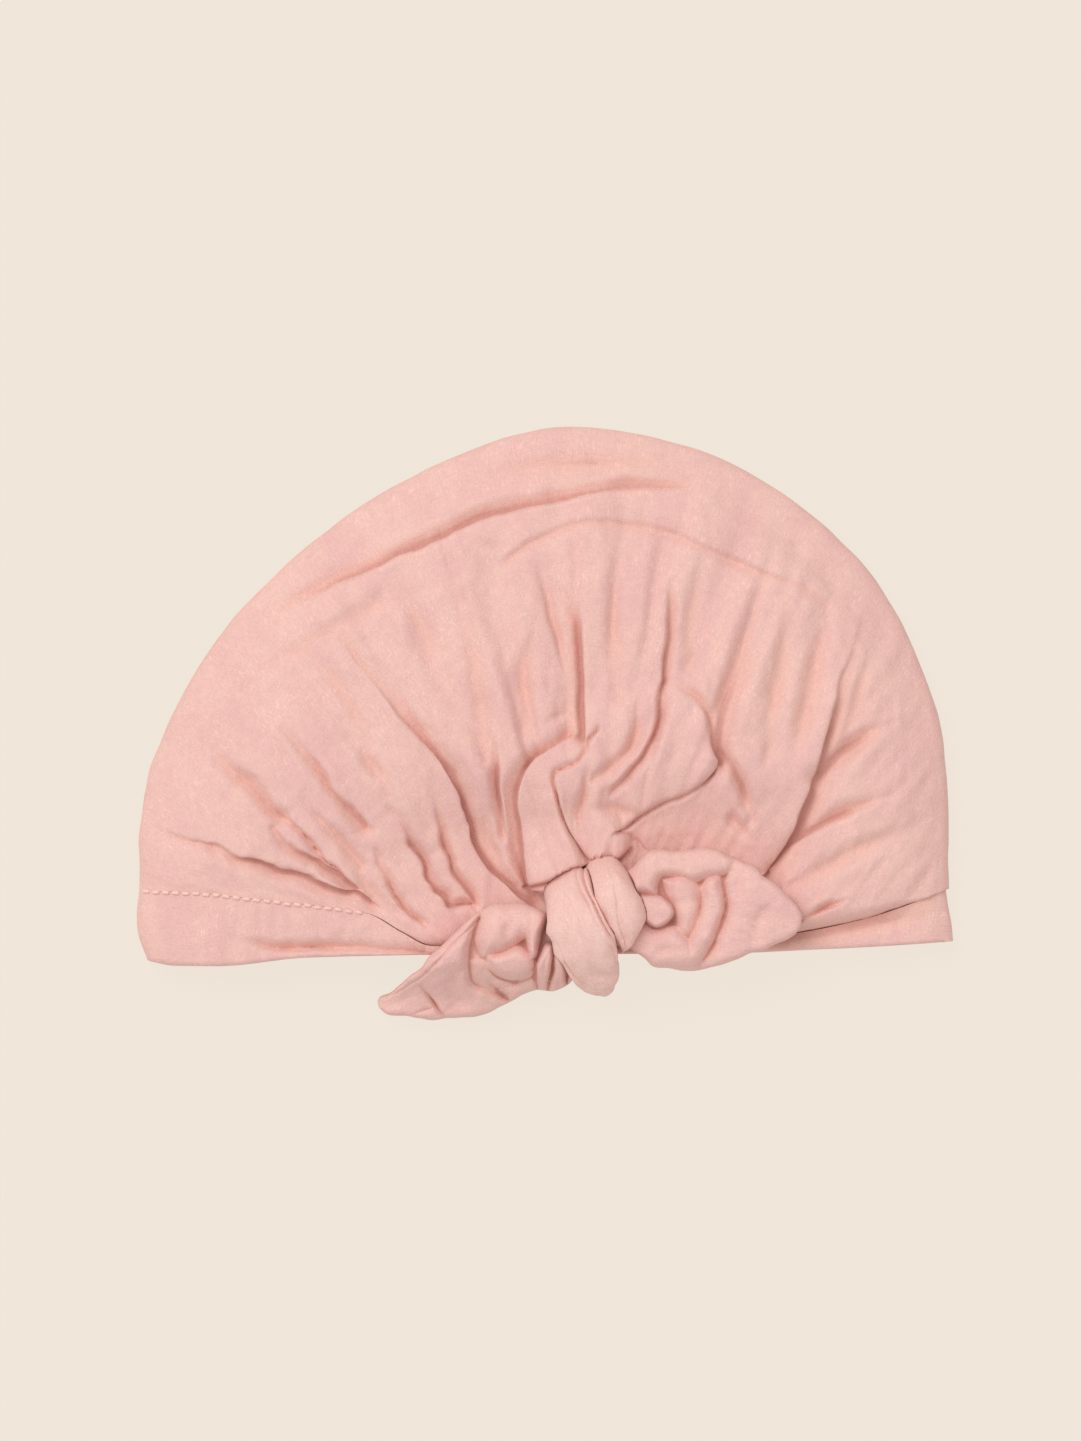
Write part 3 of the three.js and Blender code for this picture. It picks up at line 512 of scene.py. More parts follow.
def relief(folds, swells, x, y, wander):
    """How far folds and swells move the cloth: sideways, down into a fold, and up."""
    sway, nod = (sum(waves.at(x, y) for waves in layers) for layers in (SWAY, NOD))
    x, y = x + wander * sway, y + wander * nod
    shift_x, shift_y, depth, rise = (np.zeros(x.shape) for _ in range(4))
    for fold in folds:
        path = smooth_path(fold.path)
        margin = FOLD_SEARCH["widths"] * max(fold.left, fold.right, FOLD_SEARCH["least"])
        low, high = path.min(0) - margin, path.max(0) + margin
        near = (x > low[0]) & (x < high[0]) & (y > low[1]) & (y < high[1])
        if not near.any():
            continue
        distance, off_x, off_y, left, place = beside(path, x[near], y[near])
        distance = np.hypot(distance, CREASE_RADIUS) - CREASE_RADIUS
        full = DEEPEST * np.tanh(three_way(fold.depth, place) / DEEPEST)
        strength = full / full.max()
        width = np.where(left, fold.left, fold.right)
        rounded = width < ROUNDED
        width = width * (FOLD_ENDS + (1 - FOLD_ENDS) * strength)
        lip = (left == (fold.lap > 0)) & (fold.lap != 0)
        slope = (1 - np.clip((distance / width - BED) / (1 - BED), 0, 1)) ** SLOPE_BEND
        # Depths add up by their cubes, so that the deeper of two folds leads
        depth[near] += (full * np.where(rounded, quarter(distance, width), slope)) ** 3
        push = lip * abs(fold.lap) * strength * (distance / width) * np.exp(1 - distance / width)
        shift_x[near] -= push * off_x
        shift_y[near] -= push * off_y
    for swell in swells:
        distance, _, _, _, place = beside(smooth_path(swell.path), x, y)
        dome = np.clip(1 - (distance / swell.reach) ** 2, 0, 1)
        rise += three_way(swell.height, place) * dome * dome * (3 - 2 * dome)
    return shift_x, shift_y, np.cbrt(depth), rise


def crinkle(u, v):
    """The gauze's own crinkle: soft blisters with finer puckers between them."""
    warp = WARP.at(u, v)
    return BLISTERS.at(u, v, warp, -warp) + STREAKS.at(u, v, STREAK_BEND * warp) + PUCKERS.at(u, v)


def lower_edge(x):
    return along(LOWER_EDGE, x)


def hem_edge(x):
    return along(HEM_EDGE, x)


def front_ceiling(x, y):
    """The height that the front panel domes up to, away from its outline and between its folds."""
    up = np.maximum(0, y - lower_edge(x))
    dome = HEM_HEIGHT + (LOFT - HEM_HEIGHT) * (1 - np.exp(-up / HEM_RISE))
    across = np.exp(-(((x - KNOT_X) / THROAT["half_width"]) ** 4))
    near = 1 - smoothstep(y, THROAT["full"], THROAT["none"])
    return dome + (THROAT["height"] - dome) * across * near


def panel_height(ceiling, inset):
    """A panel's height at a distance from the folded edge, rising smoothly out of the turn."""
    rise = np.maximum(ceiling - TURN_HEIGHT, LEAST_RISE)
    return TURN_HEIGHT + rise * (1 - np.exp(-(inset - TURN_INSET) * TURN_SLOPE / rise))


def make_piece(name, rings, closed, looks, material):
    """A closed cloth body from rings of points, joined to a loop or capped at both ends."""
    count, sides = rings.shape[:2]
    index = np.arange(count * sides).reshape(count, sides)
    here = index if closed else index[:-1]
    ahead = np.roll(index, -1, axis=0) if closed else index[1:]
    quads = np.stack([here, ahead, np.roll(ahead, -1, axis=1), np.roll(here, -1, axis=1)], axis=2)
    faces = quads.reshape(-1, 4).tolist()
    if not closed:
        faces += [index[0].tolist(), index[-1][::-1].tolist()]
    piece = add_mesh(name, rings.reshape(-1, 3), faces, material)
    hollow, u, v = (np.broadcast_to(values, (count, sides)).ravel() for values in looks)
    attributes = piece.data.attributes
    # hollow holds how much painted shade each point gets
    attributes.new("hollow", "FLOAT", "POINT").data.foreach_set("value", hollow)
    cloth = np.stack([u, v, np.zeros(u.shape)], axis=1).ravel()
    attributes.new("cloth", "FLOAT_VECTOR", "POINT").data.foreach_set("vector", cloth)
    return piece


def put(name, data):
    """A new object in the scene."""
    item = bpy.data.objects.new(name, data)
    bpy.context.scene.collection.objects.link(item)
    return item


def add_mesh(name, points, faces, material):
    """A smooth piece of the beanie from points in millimetres."""
    mesh = bpy.data.meshes.new(name)
    mesh.from_pydata((np.asarray(points) * MM).tolist(), [], faces)
    mesh.polygons.foreach_set("use_smooth", np.ones(len(faces), bool))
    mesh.materials.append(material)
    mesh.update()
    mesh.set_sharp_from_angle(angle=SHARP)
    piece = put(name, mesh)
    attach(piece, "root")
    bpy.context.view_layer.update()
    return piece


def soften(grid):
    """A grid of points with each inner point drawn a little towards its neighbours."""
    # Along the grid, then across it
    for _ in range(2):
        soft = grid.copy()
        soft[1:-1] = 0.25 * grid[:-2] + 0.5 * grid[1:-1] + 0.25 * grid[2:]
        grid = soft.swapaxes(0, 1)
    return grid


def tuck_under(grid, pieces, gap):
    """A grid of points pressed down where they would run into pieces that lie over them."""
    points = grid.reshape(-1, 3)
    gaps = np.broadcast_to(gap, grid.shape[:2]).ravel()
    drop = np.zeros(len(points))
    for piece in pieces:
        corners = np.array(piece.bound_box)[:, :2] / MM
        near = (points[:, :2] > corners.min(0)) & (points[:, :2] < corners.max(0))
        for spot in np.flatnonzero(near.all(axis=1)):
            x, y, z = points[spot]
            hit, where, _, _ = piece.ray_cast((x * MM, y * MM, TUCK_FROM * MM), (0, 0, 1))
            if hit:
                drop[spot] = max(drop[spot], z - where.z / MM + gaps[spot])
    tucked = grid.copy()
    tucked[:, :, 2] -= drop.reshape(grid.shape[:2])
    return tucked


def pleats(arc, inset, reach):
    """Soft pleats that run down to the knot, and the crown's top drawn out along its outline."""
    fades = PLEAT_FADES
    creased = np.hypot(CREASED_PLEATS.at(arc, inset), CREASED_ROUND)
    clear = smoothstep(1 - inset / reach, *fades["knot"]) * smoothstep(inset, *fades["outline"])
    aside = np.abs(arc / OUTLINE_LENGTH - 0.5)
    calm = 1 - CALMER * smoothstep(aside, *fades["sides"])
    top = 1 - smoothstep(aside, *fades["top"])
    rim = top * smoothstep(inset, *fades["rim"]) * smoothstep(-inset, *fades["rim_end"])
    return clear * calm * (BROAD_PLEATS.at(arc, inset) + creased) + rim * RIM_PLEATS.at(arc, inset)


def row_places(count):
    """How far along a pleat line each row lies, from 0 at the knot to just short of the side fold."""
    fine = np.linspace(0, ROW_DENSITY[-1][0], LINE_POINTS["rows"])
    rows = np.concatenate([[0], np.cumsum(along(ROW_DENSITY, fine[1:]))])
    return np.interp(np.linspace(0, rows[-1], count, endpoint=False), rows, fine / fine[-1])


def make_crown(above, material):
    """The crown: a doubled shell on pleat lines that fan out from the knot to the outline."""
    across = np.linspace(0, 1, CROWN_COLUMNS + 1)
    tips = evenly(smooth_path(OUTLINE, LINE_POINTS["outline"]), CROWN_COLUMNS + 1)
    uneven = OUTLINE_WAVES.at(across, across) * smoothstep(0.5 - np.abs(across - 0.5), 0, OUTLINE_ENDS)
    tips = tips * (1 + uneven / np.linalg.norm(tips, axis=1))[:, None]
    side = 2 * across - 1
    ends = np.where(side < 0, OUTLINE[0][0] + 2 * EDGE_RADIUS, OUTLINE[-1][0] - 2 * EDGE_RADIUS)
    root_x = KNOT_X + (ends - KNOT_X) * np.abs(side) ** GATHER
    roots = np.stack([root_x, lower_edge(root_x)], axis=1)
    reach = np.linalg.norm(tips - roots, axis=1)[:, None]
    arc = across[:, None] * OUTLINE_LENGTH

    def place(inset):
        return roots[:, None, :] + (tips - roots)[:, None, :] * (1 - inset / reach)[:, :, None]

    def layer(inset, z):
        return np.concatenate([place(inset), np.broadcast_to(z, inset.shape)[:, :, None]], axis=2)

    rows = CROWN_ROWS
    inset = reach - (reach - TURN_INSET) * row_places(rows["front"])[None, :]
    plan = place(inset)
    x, y = plan[:, :, 0], plan[:, :, 1]
    bundle = smoothstep(-x, *BUNDLE["left"]) * smoothstep(-y, *BUNDLE["down"])
    wander = FOLD_WANDER["crown"] + FOLD_WANDER["bundle"] * bundle
    shift_x, shift_y, depth, rise = relief(CROWN_FOLDS, CROWN_SWELLS, x, y, wander)
    fade, roll_fade, flat = (smoothstep(inset, TURN_INSET, TURN_INSET + width)
                             for width in (EDGE_FADE, EDGE_ROLL["fade"], TURN_FLAT))
    panel = panel_height(front_ceiling(x, y), inset) + fade * rise
    room = np.maximum(panel - 2 * WALL - HOLLOW, LEAST_ROOM)
    pressed = fade * room * (1 - np.exp(-depth / room))
    step = along(BAND_STEP, x)
    from_edge = reach - inset
    rolled = (1 - np.clip(from_edge / (EDGE_ROLL["least"] + EDGE_ROLL["per_step"] * step), 0, 1)) ** 2
    edge_drop = step * rolled * roll_fade
    sewn = smoothstep(from_edge + step, 0, SEAM_FLAT)
    puckered = crinkle(MID_GATHER * arc, inset) * sewn * flat
    z = panel - pressed - edge_drop + puckered + pleats(arc, inset, reach) * fade
    front = soften(np.stack([x + fade * shift_x, y + fade * shift_y, z], axis=2))
    front = tuck_under(front, above, SEAT_GAP)
    lowest = np.minimum(front[:, :, 2], z)

    angle = np.linspace(TURN, -math.pi / 2, rows["turn"] + 1)[None, :]
    ones = np.ones_like(reach)
    turn_out = layer((EDGE_RADIUS * (1 - np.cos(angle))) * ones, EDGE_RADIUS * (1 + np.sin(angle)) * ones)
    lining = EDGE_RADIUS - WALL
    inner = angle[:, ::2]
    turn_in = layer((EDGE_RADIUS - lining * np.cos(inner)) * ones,
                    (EDGE_RADIUS + lining * np.sin(inner)) * ones)
    back = EDGE_RADIUS + (reach - EDGE_RADIUS) * np.linspace(0, 1, rows["back"] + 1)[None, 1:]
    back_out, back_in = layer(back, 0.0), layer(back, WALL)

    picks = np.linspace(0, rows["front"] - 1, rows["lining"]).astype(int)
    spans = zip(np.concatenate([[0], picks[:-1]]), np.concatenate([picks[1:], [rows["front"]]]))
    windows = [lowest[:, first:last + 1].min(axis=1) for first, last in spans]
    lean = WALL * math.cos(TURN) * np.exp((TURN_INSET - inset[:, picks]) / EDGE_RADIUS)
    front_in = layer(np.minimum(inset[:, picks] + lean, reach), np.stack(windows, axis=1) - WALL)

    parts = [front, turn_out, back_out, back_in[:, ::-1], turn_in[:, ::-1], front_in[:, ::-1]]
    turn_v = TURN_INSET - EDGE_RADIUS * (TURN - angle) * ones
    back_v = turn_v[:, -1:] + EDGE_RADIUS - back
    depths = [inset, turn_v, back_v, back_v[:, ::-1], turn_v[:, ::-2], inset[:, picks[::-1]]]
    rings = np.concatenate(parts, axis=1)
    # Painted shade: deeper in the folds and where the lower edge rolls down onto the band
    hollow = np.zeros(rings.shape[:2])
    hollow[:, :rows["front"]] = fade * depth + EDGE_ROLL["shade"] * edge_drop
    looks = (hollow, MID_GATHER * arc, np.concatenate(depths, axis=1))
    return make_piece("crown_cloth", rings, False, looks, material)


def make_band(material):
    """The hem band: a flattened loop that carries on from the crown's lower edge."""
    counts = BAND_STATIONS
    spans = [("front", 0, 1), ("right", TURN, -math.pi / 2), ("back", 1, 0), ("left", -math.pi / 2, TURN)]
    stations = []
    for part, first, last in spans:
        count = counts.get(part, counts["turn"])
        stations += [(part, place) for place in np.linspace(first, last, count, endpoint=False)]
    down = np.linspace(0, 1, BAND_ROWS + 1)
    left, right = (smooth_path([(x, 0) for x in BAND_ENDS[side]], BAND_ROWS + 1)[:, 0]
                   for side in ("left", "right"))
    rings = []
    for part, place in stations:
        faces = [band_face(part, place, down, left, right, depth) for depth in (0.0, HEM_WALL)]
        rings.append(np.concatenate([faces[0][::-1], faces[1]]))
    rings = np.array(rings)
    looks = (rings[:, :, 3], rings[:, :, 0] + rings[:, :, 2], rings[:, :, 1])
    return make_piece("hem_cloth", rings[:, :, :3], True, looks, material)


def band_face(part, place, down, left, right, depth):
    """One line across the band from the seam to the free edge, on its outer or inner face, with its shade."""
    shade = np.zeros(down.shape)
    if part in ("left", "right"):
        radius = EDGE_RADIUS - depth
        inset = EDGE_RADIUS - radius * math.cos(place)
        x = left + inset if part == "left" else right - inset
        z = np.full(down.shape, EDGE_RADIUS + radius * math.sin(place))
    elif part == "back":
        x = left + EDGE_RADIUS + (right - left - 2 * EDGE_RADIUS) * place
        z = np.full(down.shape, depth)
    else:
        x = left + TURN_INSET + (right - left - 2 * TURN_INSET) * place
        inset = np.minimum(x - left, right - x)
        curl = np.exp((TURN_INSET - inset) / EDGE_RADIUS)
        height = lower_edge(x) - hem_edge(x)
        y = lower_edge(x) - height * down
        _, _, pressed, _ = relief(BAND_FOLDS, [], x, y, FOLD_WANDER["band"])
        ceiling = front_ceiling(x, lower_edge(x)) - along(BAND_STEP, x)
        puckered = crinkle(x, y) * smoothstep(height * down, 0, SEAM_FLAT)
        z = panel_height(ceiling, inset) + (1 - curl) * (puckered - pressed)
        # Painted shade: the band darker in its folds and under the crown's step
        under_step = 1 - smoothstep(height * down, 0, STEP_SHADE["reach"])
        shade = pressed + STEP_SHADE["share"] * along(BAND_STEP, x) * under_step
        rim = HEM_RIM["drop"] * quarter(height * (1 - down), HEM_RIM["radius"])
        wall = np.maximum(depth * (1 - HEM_THIN["share"] * curl), HEM_THIN["least"])
        z = z - (rim if depth == 0 else wall)
        x = x + depth * math.cos(TURN) * curl * np.sign(0.5 - place)
    top = lower_edge(x) - SEAM_GAP
    return np.stack([x, top + (hem_edge(x) - top) * down, z, shade], axis=1)


def bow_seat(x, y):
    """What the bow lies on: the crown and the band, then a slope down past the hem."""
    seat = front_ceiling(x, np.maximum(y, lower_edge(x)))
    return seat * smoothstep(y, hem_edge(x) - DROOP, hem_edge(x)) + SEAT_GAP


def within(path, x, y):
    """Whether points lie inside a closed path."""
    inside = np.zeros(x.shape, bool)
    for (start_x, start_y), (end_x, end_y) in zip(path[:-1], path[1:]):
        level = (start_y > y) != (end_y > y)
        inside ^= level & (x < start_x + (y - start_y) * (end_x - start_x) / (end_y - start_y or 1))
    return inside


def bulged(puffs, x, y):
    """How high bunched cloth stands: the highest of its puffs at each point."""
    height = np.zeros(x.shape)
    for puff in puffs:
        path = smooth_path([*puff.outline, puff.outline[0]], LINE_POINTS["puff"])
        distance = beside(path, x, y)[0]
        wall = 1 - np.clip(distance / puff.edge, 0, 1)
        height = np.maximum(height, within(path, x, y) * puff.height * (1 - wall ** PUFF_BEND))
    return height


def sunken(height, passes):
    """How far each point of a grid lies below the cloth round it."""
    level = height
    for _ in range(passes):
        level = soften(level)
    return np.maximum(level - height, 0)


def wandering(path, seed):
    """The same line, a little uneven as a soft edge is."""
    at = travelled(path) / STRIP_EDGE["pitch"]
    sway, nod = (lattice_noise(at, np.zeros(at.shape), seed + k) for k in (0, 1))
    return path + STRIP_EDGE["sway"] * np.stack([sway, nod], axis=1)


class Strip:
    """The sections of a strip, smooth between the rows of its table."""

    def __init__(self, rows):
        left = wandering(smooth_path([row.left for row in rows], STRIP_RINGS + 1), 43)
        right = wandering(smooth_path([row.right for row in rows], STRIP_RINGS + 1), 47)
        size = smooth_path([(row.thick, row.crest) for row in rows], STRIP_RINGS + 1)
        over = np.cos(np.linspace(0, math.pi, STRIP_SIDES["top"]))
        under = np.cos(np.linspace(math.pi, 2 * math.pi, STRIP_SIDES["under"] + 2)[1:-1])
        right_under, left_under = np.split(under, 2)[::-1]
        self.across = np.concatenate([right_under, over, left_under])[None, :]
        self.face = slice(len(right_under), len(right_under) + len(over))
        self.up = -(1 - np.abs(self.across) ** SQUARENESS) ** (1 / SQUARENESS)
        self.up[:, self.face] *= -1
        self.thick, crest = size[:, :1], size[:, 1:]
        plan = left[:, None, :] + (right - left)[:, None, :] * (0.5 + 0.5 * self.across)[:, :, None]
        self.x, self.y = plan[:, :, 0], plan[:, :, 1]
        self.middle = np.concatenate([0.5 * (left + right), crest - 0.5 * self.thick], axis=1)
        self.side = np.pad(right - left, ((0, 0), (0, 1)))
        self.u = 0.5 * np.linalg.norm(self.side, axis=1)[:, None] * self.across
        self.v = travelled(self.middle)[:, None]
        self.top = np.clip(self.up, 0, 1)
        # From one gap on top to two below, so that a strip pressed flat keeps some thickness
        self.gap = SEAT_GAP * (1.5 - 0.5 * self.up)

    def looks(self, rings, lift, bare=0.0):
        """What its finish needs: how deep in shade it lies, and its cloth measured round and along."""
        under = UNDER_SHADE["most"] * smoothstep(-self.up, *UNDER_SHADE["over"])
        shade = (bare + under) * np.ones_like(lift)
        for strength, passes in HOLLOW_SHADES:
            shade[:, self.face] += strength * sunken(lift[:, self.face], passes)
        steps = np.linalg.norm(np.diff(rings, axis=1), axis=2)
        girth = np.pad(np.cumsum(steps, axis=1), ((0, 0), (1, 0)))
        return shade, girth - girth[:, STRIP_SIDES["top"] // 2, None], self.v


def make_ear(name, rows, above, material):
    """One ear of the bow: bunched cloth that lies on the crown, rolled and pressed into folds."""
    ear = Strip(rows)
    shift_x, shift_y, pressed, _ = relief(EAR_FOLDS, [], ear.x, ear.y, FOLD_WANDER["ear"])
    sway, nod = (waves.at(ear.x, ear.y) for waves in (PUFF_SWAY, PUFF_NOD))
    bulge = bulged(EAR_PUFFS, ear.x + sway, ear.y + nod)
    raised = bulge - pressed + crinkle(ear.u, ear.v)
    swell = 0.5 * ear.thick * (1 + ear.up)
    lift = np.maximum(swell + ear.top * raised, LEAST_SWELL * swell)
    z = bow_seat(ear.x, ear.y) + lift
    rings = np.stack([ear.x + ear.top * shift_x, ear.y + ear.top * shift_y, z], axis=2)
    rings[:, ear.face] = soften(rings[:, ear.face])
    rings = tuck_under(rings, above, ear.gap)
    bare = BARE["shade"] * ear.top * (1 - smoothstep(bulge, 0, BARE["below"]))
    return make_piece(name, rings, False, ear.looks(rings, lift, bare), material)


def make_knot_turn(name, rows, sag, above, material):
    """One turn of the knot: wound cloth that arches over the ears' roots."""
    turn = Strip(rows)
    _, _, pressed, _ = relief(KNOT_FOLDS, [], turn.x, turn.y, FOLD_WANDER["knot"])
    sagged = np.where(turn.across > 0, sag["right"], sag["left"]) * np.abs(turn.across) ** SAG_BEND
    lift = 0.5 * turn.thick * turn.up - sagged + turn.top * (crinkle(turn.u, turn.v) - pressed)
    out = np.cross(turn.side, np.gradient(turn.middle, axis=0))
    out = out / np.linalg.norm(out, axis=1)[:, None]
    flat = turn.middle[:, None, :] + turn.side[:, None, :] * (0.5 * turn.across)[:, :, None]
    rings = tuck_under(flat + out[:, None, :] * lift[:, :, None], above, turn.gap)
    return make_piece(name, rings, False, turn.looks(rings, -turn.top * pressed), material)


def make_stitches(name, clothes, material):
    """The seam's run of lockstitch: short threads that lie on the cloth and dip in at their ends."""
    seam = np.linspace(SEWN["from"], SEWN["to"], LINE_POINTS["seam"])
    line = np.stack([seam, lower_edge(seam) - STITCH["below"]], axis=1)
    distance = travelled(line)
    sides, beads = STITCH["sides"], STITCH["beads"]
    turn = np.linspace(0, 2 * math.pi, sides, endpoint=False)
    bow = np.linspace(-1, 1, beads) ** 2
    girth = STITCH["radius"] * np.sqrt(1 - STITCH["taper"] * bow ** 2)
    astray = np.random.default_rng(41).uniform(-STITCH["astray"], STITCH["astray"], (STITCH["most"], 2))
    points, faces = [], []
    for index, start in enumerate(np.arange(0, distance[-1] - STITCH["length"], STITCH["pitch"])):
        at = start + STITCH["length"] * np.linspace(0, 1, beads)
        spots = np.stack([np.interp(at, distance, line[:, k]) for k in (0, 1)], axis=1)
        spots[:, 1] += np.linspace(*astray[index], beads)
        ahead = (spots[-1] - spots[0]) / np.linalg.norm(spots[-1] - spots[0])
        sideways = np.array([-ahead[1], ahead[0]])
        lift = top_of(clothes, spots) + 0.5 * STITCH["radius"] - STITCH["sink"] * bow ** 2
        ring = spots[:, None, :] + (girth[:, None] * np.cos(turn))[:, :, None] * sideways
        height = lift[:, None] + girth[:, None] * np.sin(turn)
        grid = len(points) + np.arange(beads * sides).reshape(beads, sides)
        points += np.concatenate([ring, height[:, :, None]], axis=2).reshape(-1, 3).tolist()
        beyond = np.roll(grid, -1, axis=1)
        quads = np.stack([grid[:-1], beyond[:-1], beyond[1:], grid[1:]], axis=2)
        faces += quads.reshape(-1, 4).tolist()
        faces += [grid[0][::-1].tolist(), grid[-1].tolist()]
    return add_mesh(name, points, faces, material)


def top_of(clothes, spots):
    """The height of the topmost cloth under each spot, in millimetres."""
    heights = []
    for x, y in spots:
        hits = [cloth.ray_cast((x * MM, y * MM, ABOVE_ALL * MM), (0, 0, -1)) for cloth in clothes]
        heights.append(max((where.z / MM for hit, where, _, _ in hits if hit), default=0.0))
    return np.array(heights)


class Shade:
    """A shader socket that takes part in Python arithmetic by adding Math nodes."""

    def __init__(self, finish, socket):
        self.finish = finish
        self.socket = socket

    def maths(self, operation, other):
        return self.finish.node("ShaderNodeMath", {"operation": operation}, {0: self, 1: other})

    def __add__(self, other):
        return self.maths("ADD", other)

    def __mul__(self, other):
        return self.maths("MULTIPLY", other)

    __rmul__ = __mul__


class Finish:
    """A material whose nodes are added one by one."""

    def __init__(self, name):
        self.material = bpy.data.materials.new(name)
        self.material.use_nodes = True
        self.tree = self.material.node_tree
        self.tree.nodes.clear()

    def node(self, kind, settings, sockets, output=0):
        """Adds a node of a kind: its settings first, then the values or links of its sockets."""
        node = self.tree.nodes.new(kind)
        for name, value in settings.items():
            setattr(node, name, value)
        for name, value in sockets.items():
            if isinstance(value, Shade):
                self.tree.links.new(value.socket, node.inputs[name])
            else:
                node.inputs[name].default_value = value
        return Shade(self, node.outputs[output])

    def blend(self, factor, first, second):
        """A colour between two colours."""
        ends = [value if isinstance(value, Shade) else (*value, 1.0) for value in (first, second)]
        sockets = {0: factor, 6: ends[0], 7: ends[1]}
        return self.node("ShaderNodeMix", {"data_type": "RGBA"}, sockets, output=2)

    def grain(self, where, stretch, detail):
        """Noise with so many grains to a unit along each axis."""
        drawn = self.node("ShaderNodeVectorMath", {"operation": "MULTIPLY"}, {0: where, 1: stretch})
        return self.node("ShaderNodeTexNoise", {}, {"Vector": drawn, "Scale": 1.0, "Detail": detail})

    def ease(self, value, low, high, to_low=0.0, to_high=1.0):
        """A value carried smoothly from one range to another."""
        sockets = {"Value": value, "From Min": low, "From Max": high, "To Min": to_low, "To Max": to_high}
        return self.node("ShaderNodeMapRange", {"interpolation_type": "SMOOTHSTEP"}, sockets)

    def surface(self, sockets):
        shader = self.node("ShaderNodeBsdfPrincipled", {}, sockets)
        outcome = self.tree.nodes.new("ShaderNodeOutputMaterial")
        self.tree.links.new(shader.socket, outcome.inputs["Surface"])
        return self.material


def gauze_finish(name, ridge, face):
    """Double gauze: threads both ways, in a ridge tone and a face tone, and painted peach shade down in its
    folds.
    """
    finish = Finish(name)
    where = finish.node("ShaderNodeTexCoord", {}, {}, output=3)
    cloth = finish.node("ShaderNodeAttribute", {"attribute_name": "cloth"}, {}, output=1)
    hollow = finish.node("ShaderNodeAttribute", {"attribute_name": "hollow"}, {}, output=2)
    warp = finish.grain(cloth, (2.6, 0.5, 0.0), 2)
    weft = finish.grain(cloth, (0.5, 2.6, 0.0), 2)
    speck = finish.grain(where, (2600, 2600, 1300), 2)
    streak = finish.grain(cloth, (0.16, 0.035, 0.0), 3)
    cloud = finish.grain(where, (60, 60, 60), 3)
    pucker = finish.grain(where, (420, 420, 420), 2)
    weave = 0.5 * warp + 0.5 * weft
    patches = 0.4 * streak + 0.35 * cloud + 0.25 * pucker
    tone = finish.blend(finish.ease(patches, 0.38, 0.62), ridge, face)
    # Painted shade: the deeper a point lies in a fold or hollow, the more peach and then dark red it turns
    tone = finish.blend(finish.ease(hollow, 0.2, 2.0), tone, PAINTED_HOLLOW_SHADE)
    tone = finish.blend(finish.ease(hollow, 2.0, 3.7), tone, PAINTED_CREASE_SHADE)
    # Painted highlights: pale glints along the threads, in patches, on top of the lightness that the weave
    # and its specks give
    painted_glint = finish.ease(finish.grain(cloth, (3.2, 0.5, 0.0), 1), 0.55, 0.7)
    painted_glint = painted_glint * finish.ease(finish.grain(where, (130, 130, 130), 2), 0.44, 0.62)
    light = finish.ease(0.5 * weave + 0.5 * speck, 0.36, 0.64, 0.92, 1.04) + 0.12 * painted_glint
    speckled = finish.node("ShaderNodeVectorMath", {"operation": "SCALE"}, {0: tone, "Scale": light})
    height = weave + 0.7 * speck
    bump = finish.node("ShaderNodeBump", {}, {"Height": height, "Strength": 0.5, "Distance": 0.0004})
    return finish.surface({"Base Color": speckled, "Roughness": 0.95, "Normal": bump,
                           "Specular IOR Level": 0.15, "Sheen Weight": 0.1, "Sheen Roughness": 0.6})


def thread_finish():
    """Sewing thread: paler than the cloth, with its twist across it."""
    finish = Finish("pale_thread")
    where = finish.node("ShaderNodeTexCoord", {}, {}, output=3)
    twist = finish.grain(where, (2500, 1000, 2500), 1)
    tone = finish.blend(twist, THREAD, PINK)
    bump = finish.node("ShaderNodeBump", {}, {"Height": twist, "Strength": 0.4, "Distance": 0.0002})
    return finish.surface({"Base Color": tone, "Roughness": 0.8, "Normal": bump})


def floor_finish():
    """A pale cream ground, lit a little from within as a studio table is."""
    finish = Finish("cream_ground")
    where = finish.node("ShaderNodeTexCoord", {}, {}, output=3)
    mottle = finish.grain(where, (6, 6, 6), 2)
    tone = finish.blend(mottle, *(tuple(share * part for part in CREAM) for share in GROUND["shares"]))
    return finish.surface({"Base Color": tone, "Roughness": 1.0, "Specular IOR Level": 0.0,
                           "Emission Color": (*CREAM, 1.0), "Emission Strength": GROUND["glow"]})


# The photo's frame: its height in pixels, what one pixel spans, and where the frame's middle lies
PHOTO = {"height": 1441, "pixel": 0.245, "middle": (-1.1, 0.6)}
CAMERA_HEIGHT = 1.5  # metres, far enough off for a nearly flat view
OUTLINE_HEIGHT = 5.0  # the outline that sets the scale lies at this height
LAMP = {"from": (-0.45, 0.5, 1.1), "energy": 1.38, "spread": math.radians(40)}
SKY = {"colour": (1.0, 0.99, 0.98, 1.0), "strength": 0.7}
FLOOR = {"half": 1.5, "drop": 0.0002}  # metres; it lies just under the cloth


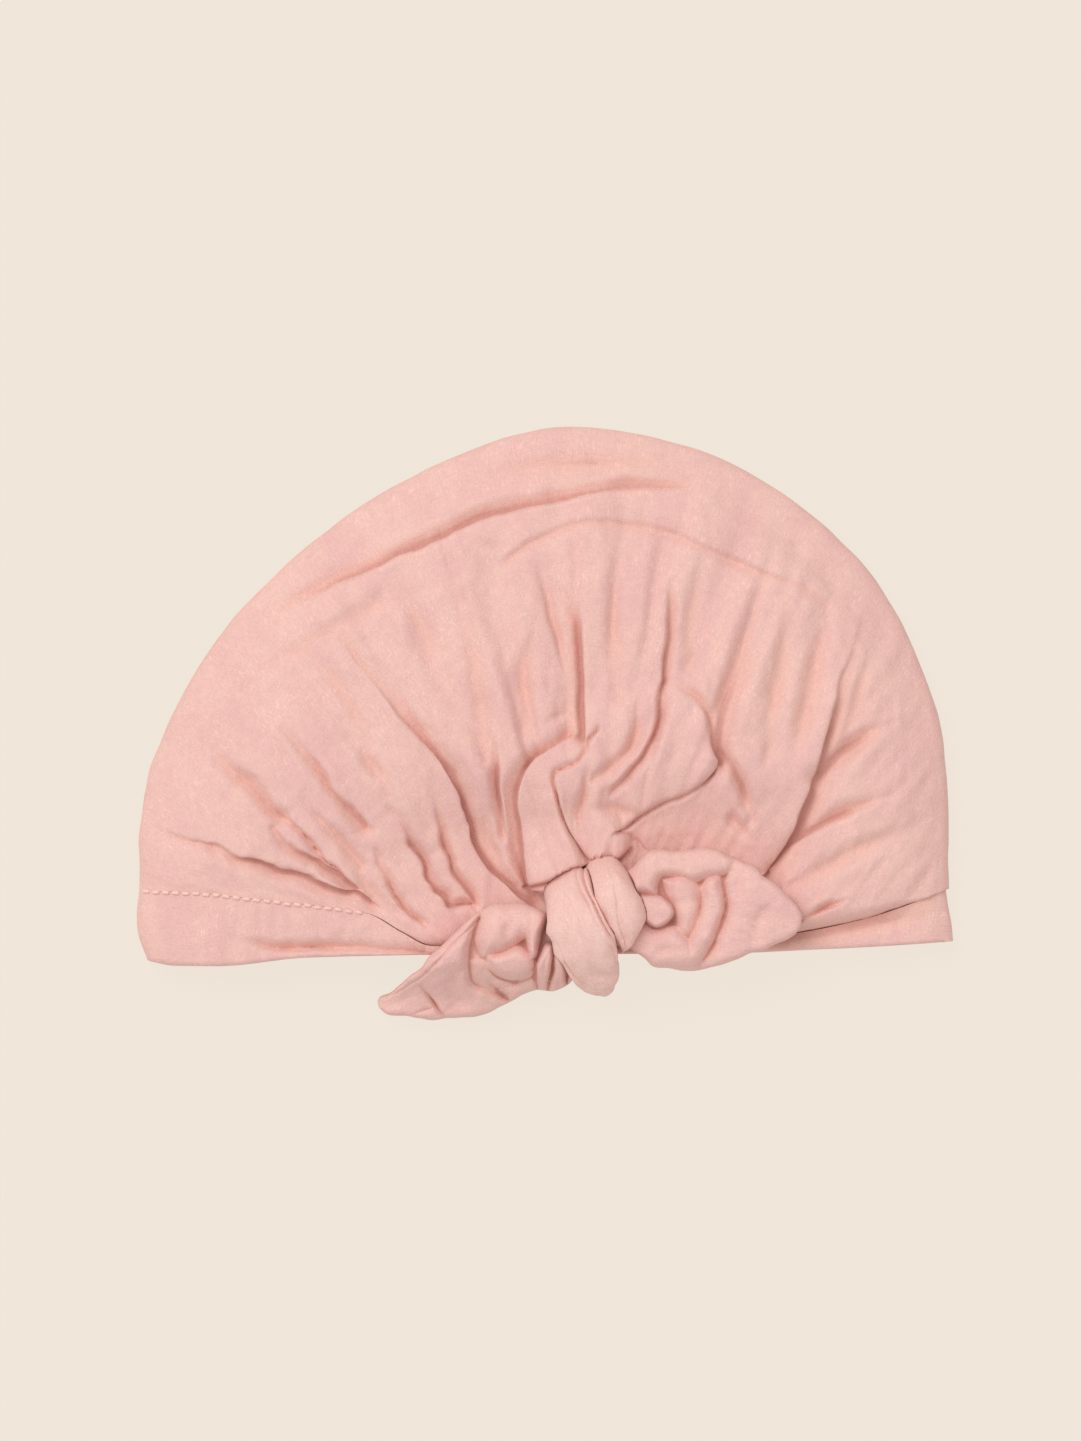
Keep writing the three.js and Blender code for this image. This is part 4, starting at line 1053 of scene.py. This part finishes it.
def place_camera():
    """A long lens straight above, framed as the photo is."""
    lens = bpy.data.cameras.new("camera")
    lens.sensor_fit = "VERTICAL"
    span = PHOTO["height"] * PHOTO["pixel"] * MM
    lens.lens = lens.sensor_height * (CAMERA_HEIGHT - OUTLINE_HEIGHT * MM) / span
    camera = put("camera", lens)
    camera.location = (PHOTO["middle"][0] * MM, PHOTO["middle"][1] * MM, CAMERA_HEIGHT)
    bpy.context.scene.camera = camera


def place_lights():
    """One broad soft lamp from beyond the crown, and an even sky to fill."""
    lamp = bpy.data.lights.new("soft_lamp", "SUN")
    lamp.energy = LAMP["energy"]
    lamp.angle = LAMP["spread"]
    holder = put("soft_lamp", lamp)
    holder.rotation_euler = (-Vector(LAMP["from"])).to_track_quat("-Z", "Y").to_euler()
    sky = bpy.data.worlds.new("even_sky")
    sky.use_nodes = True
    backdrop = sky.node_tree.nodes["Background"]
    backdrop.inputs["Color"].default_value = SKY["colour"]
    backdrop.inputs["Strength"].default_value = SKY["strength"]
    bpy.context.scene.world = sky


def place_floor():
    half = FLOOR["half"]
    mesh = bpy.data.meshes.new("floor")
    corners = [(-half, -half, 0), (half, -half, 0), (half, half, 0), (-half, half, 0)]
    mesh.from_pydata(corners, [], [(0, 1, 2, 3)])
    mesh.materials.append(floor_finish())
    floor = put("floor", mesh)
    floor.location.z = -FLOOR["drop"]


bpy.context.scene.view_settings.view_transform = "Standard"
place_camera()
place_lights()
place_floor()

gauze = gauze_finish("pink_gauze", MAUVE, PINK)
# A paler copy of the gauze for the knot: painted light on its high turns
painted_lit_gauze = gauze_finish("painted_lit_pink_gauze", PINK, PAINTED_LIT_KNOT_TONE)
thread = thread_finish()
knot_wrap = make_knot_turn("knot_wrap_cloth", KNOT_WRAP, WRAP_SAG, [], painted_lit_gauze)
knot_loop = make_knot_turn("knot_loop_cloth", KNOT_LOOP, LOOP_SAG, [knot_wrap], painted_lit_gauze)
ear_left = make_ear("ear_left_cloth", EAR_LEFT, [knot_wrap, knot_loop], gauze)
ear_right = make_ear("ear_right_cloth", EAR_RIGHT, [knot_wrap, knot_loop], gauze)
crown = make_crown([knot_wrap, knot_loop, ear_left, ear_right], gauze)
hem = make_band(gauze)
stitches = make_stitches("band_stitches", [crown, hem], thread)

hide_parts("crown")
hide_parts("hem_band")
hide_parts("ear_left")
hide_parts("ear_right")
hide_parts("knot_wrap")
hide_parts("knot_loop")

bpy.context.view_layer.update()
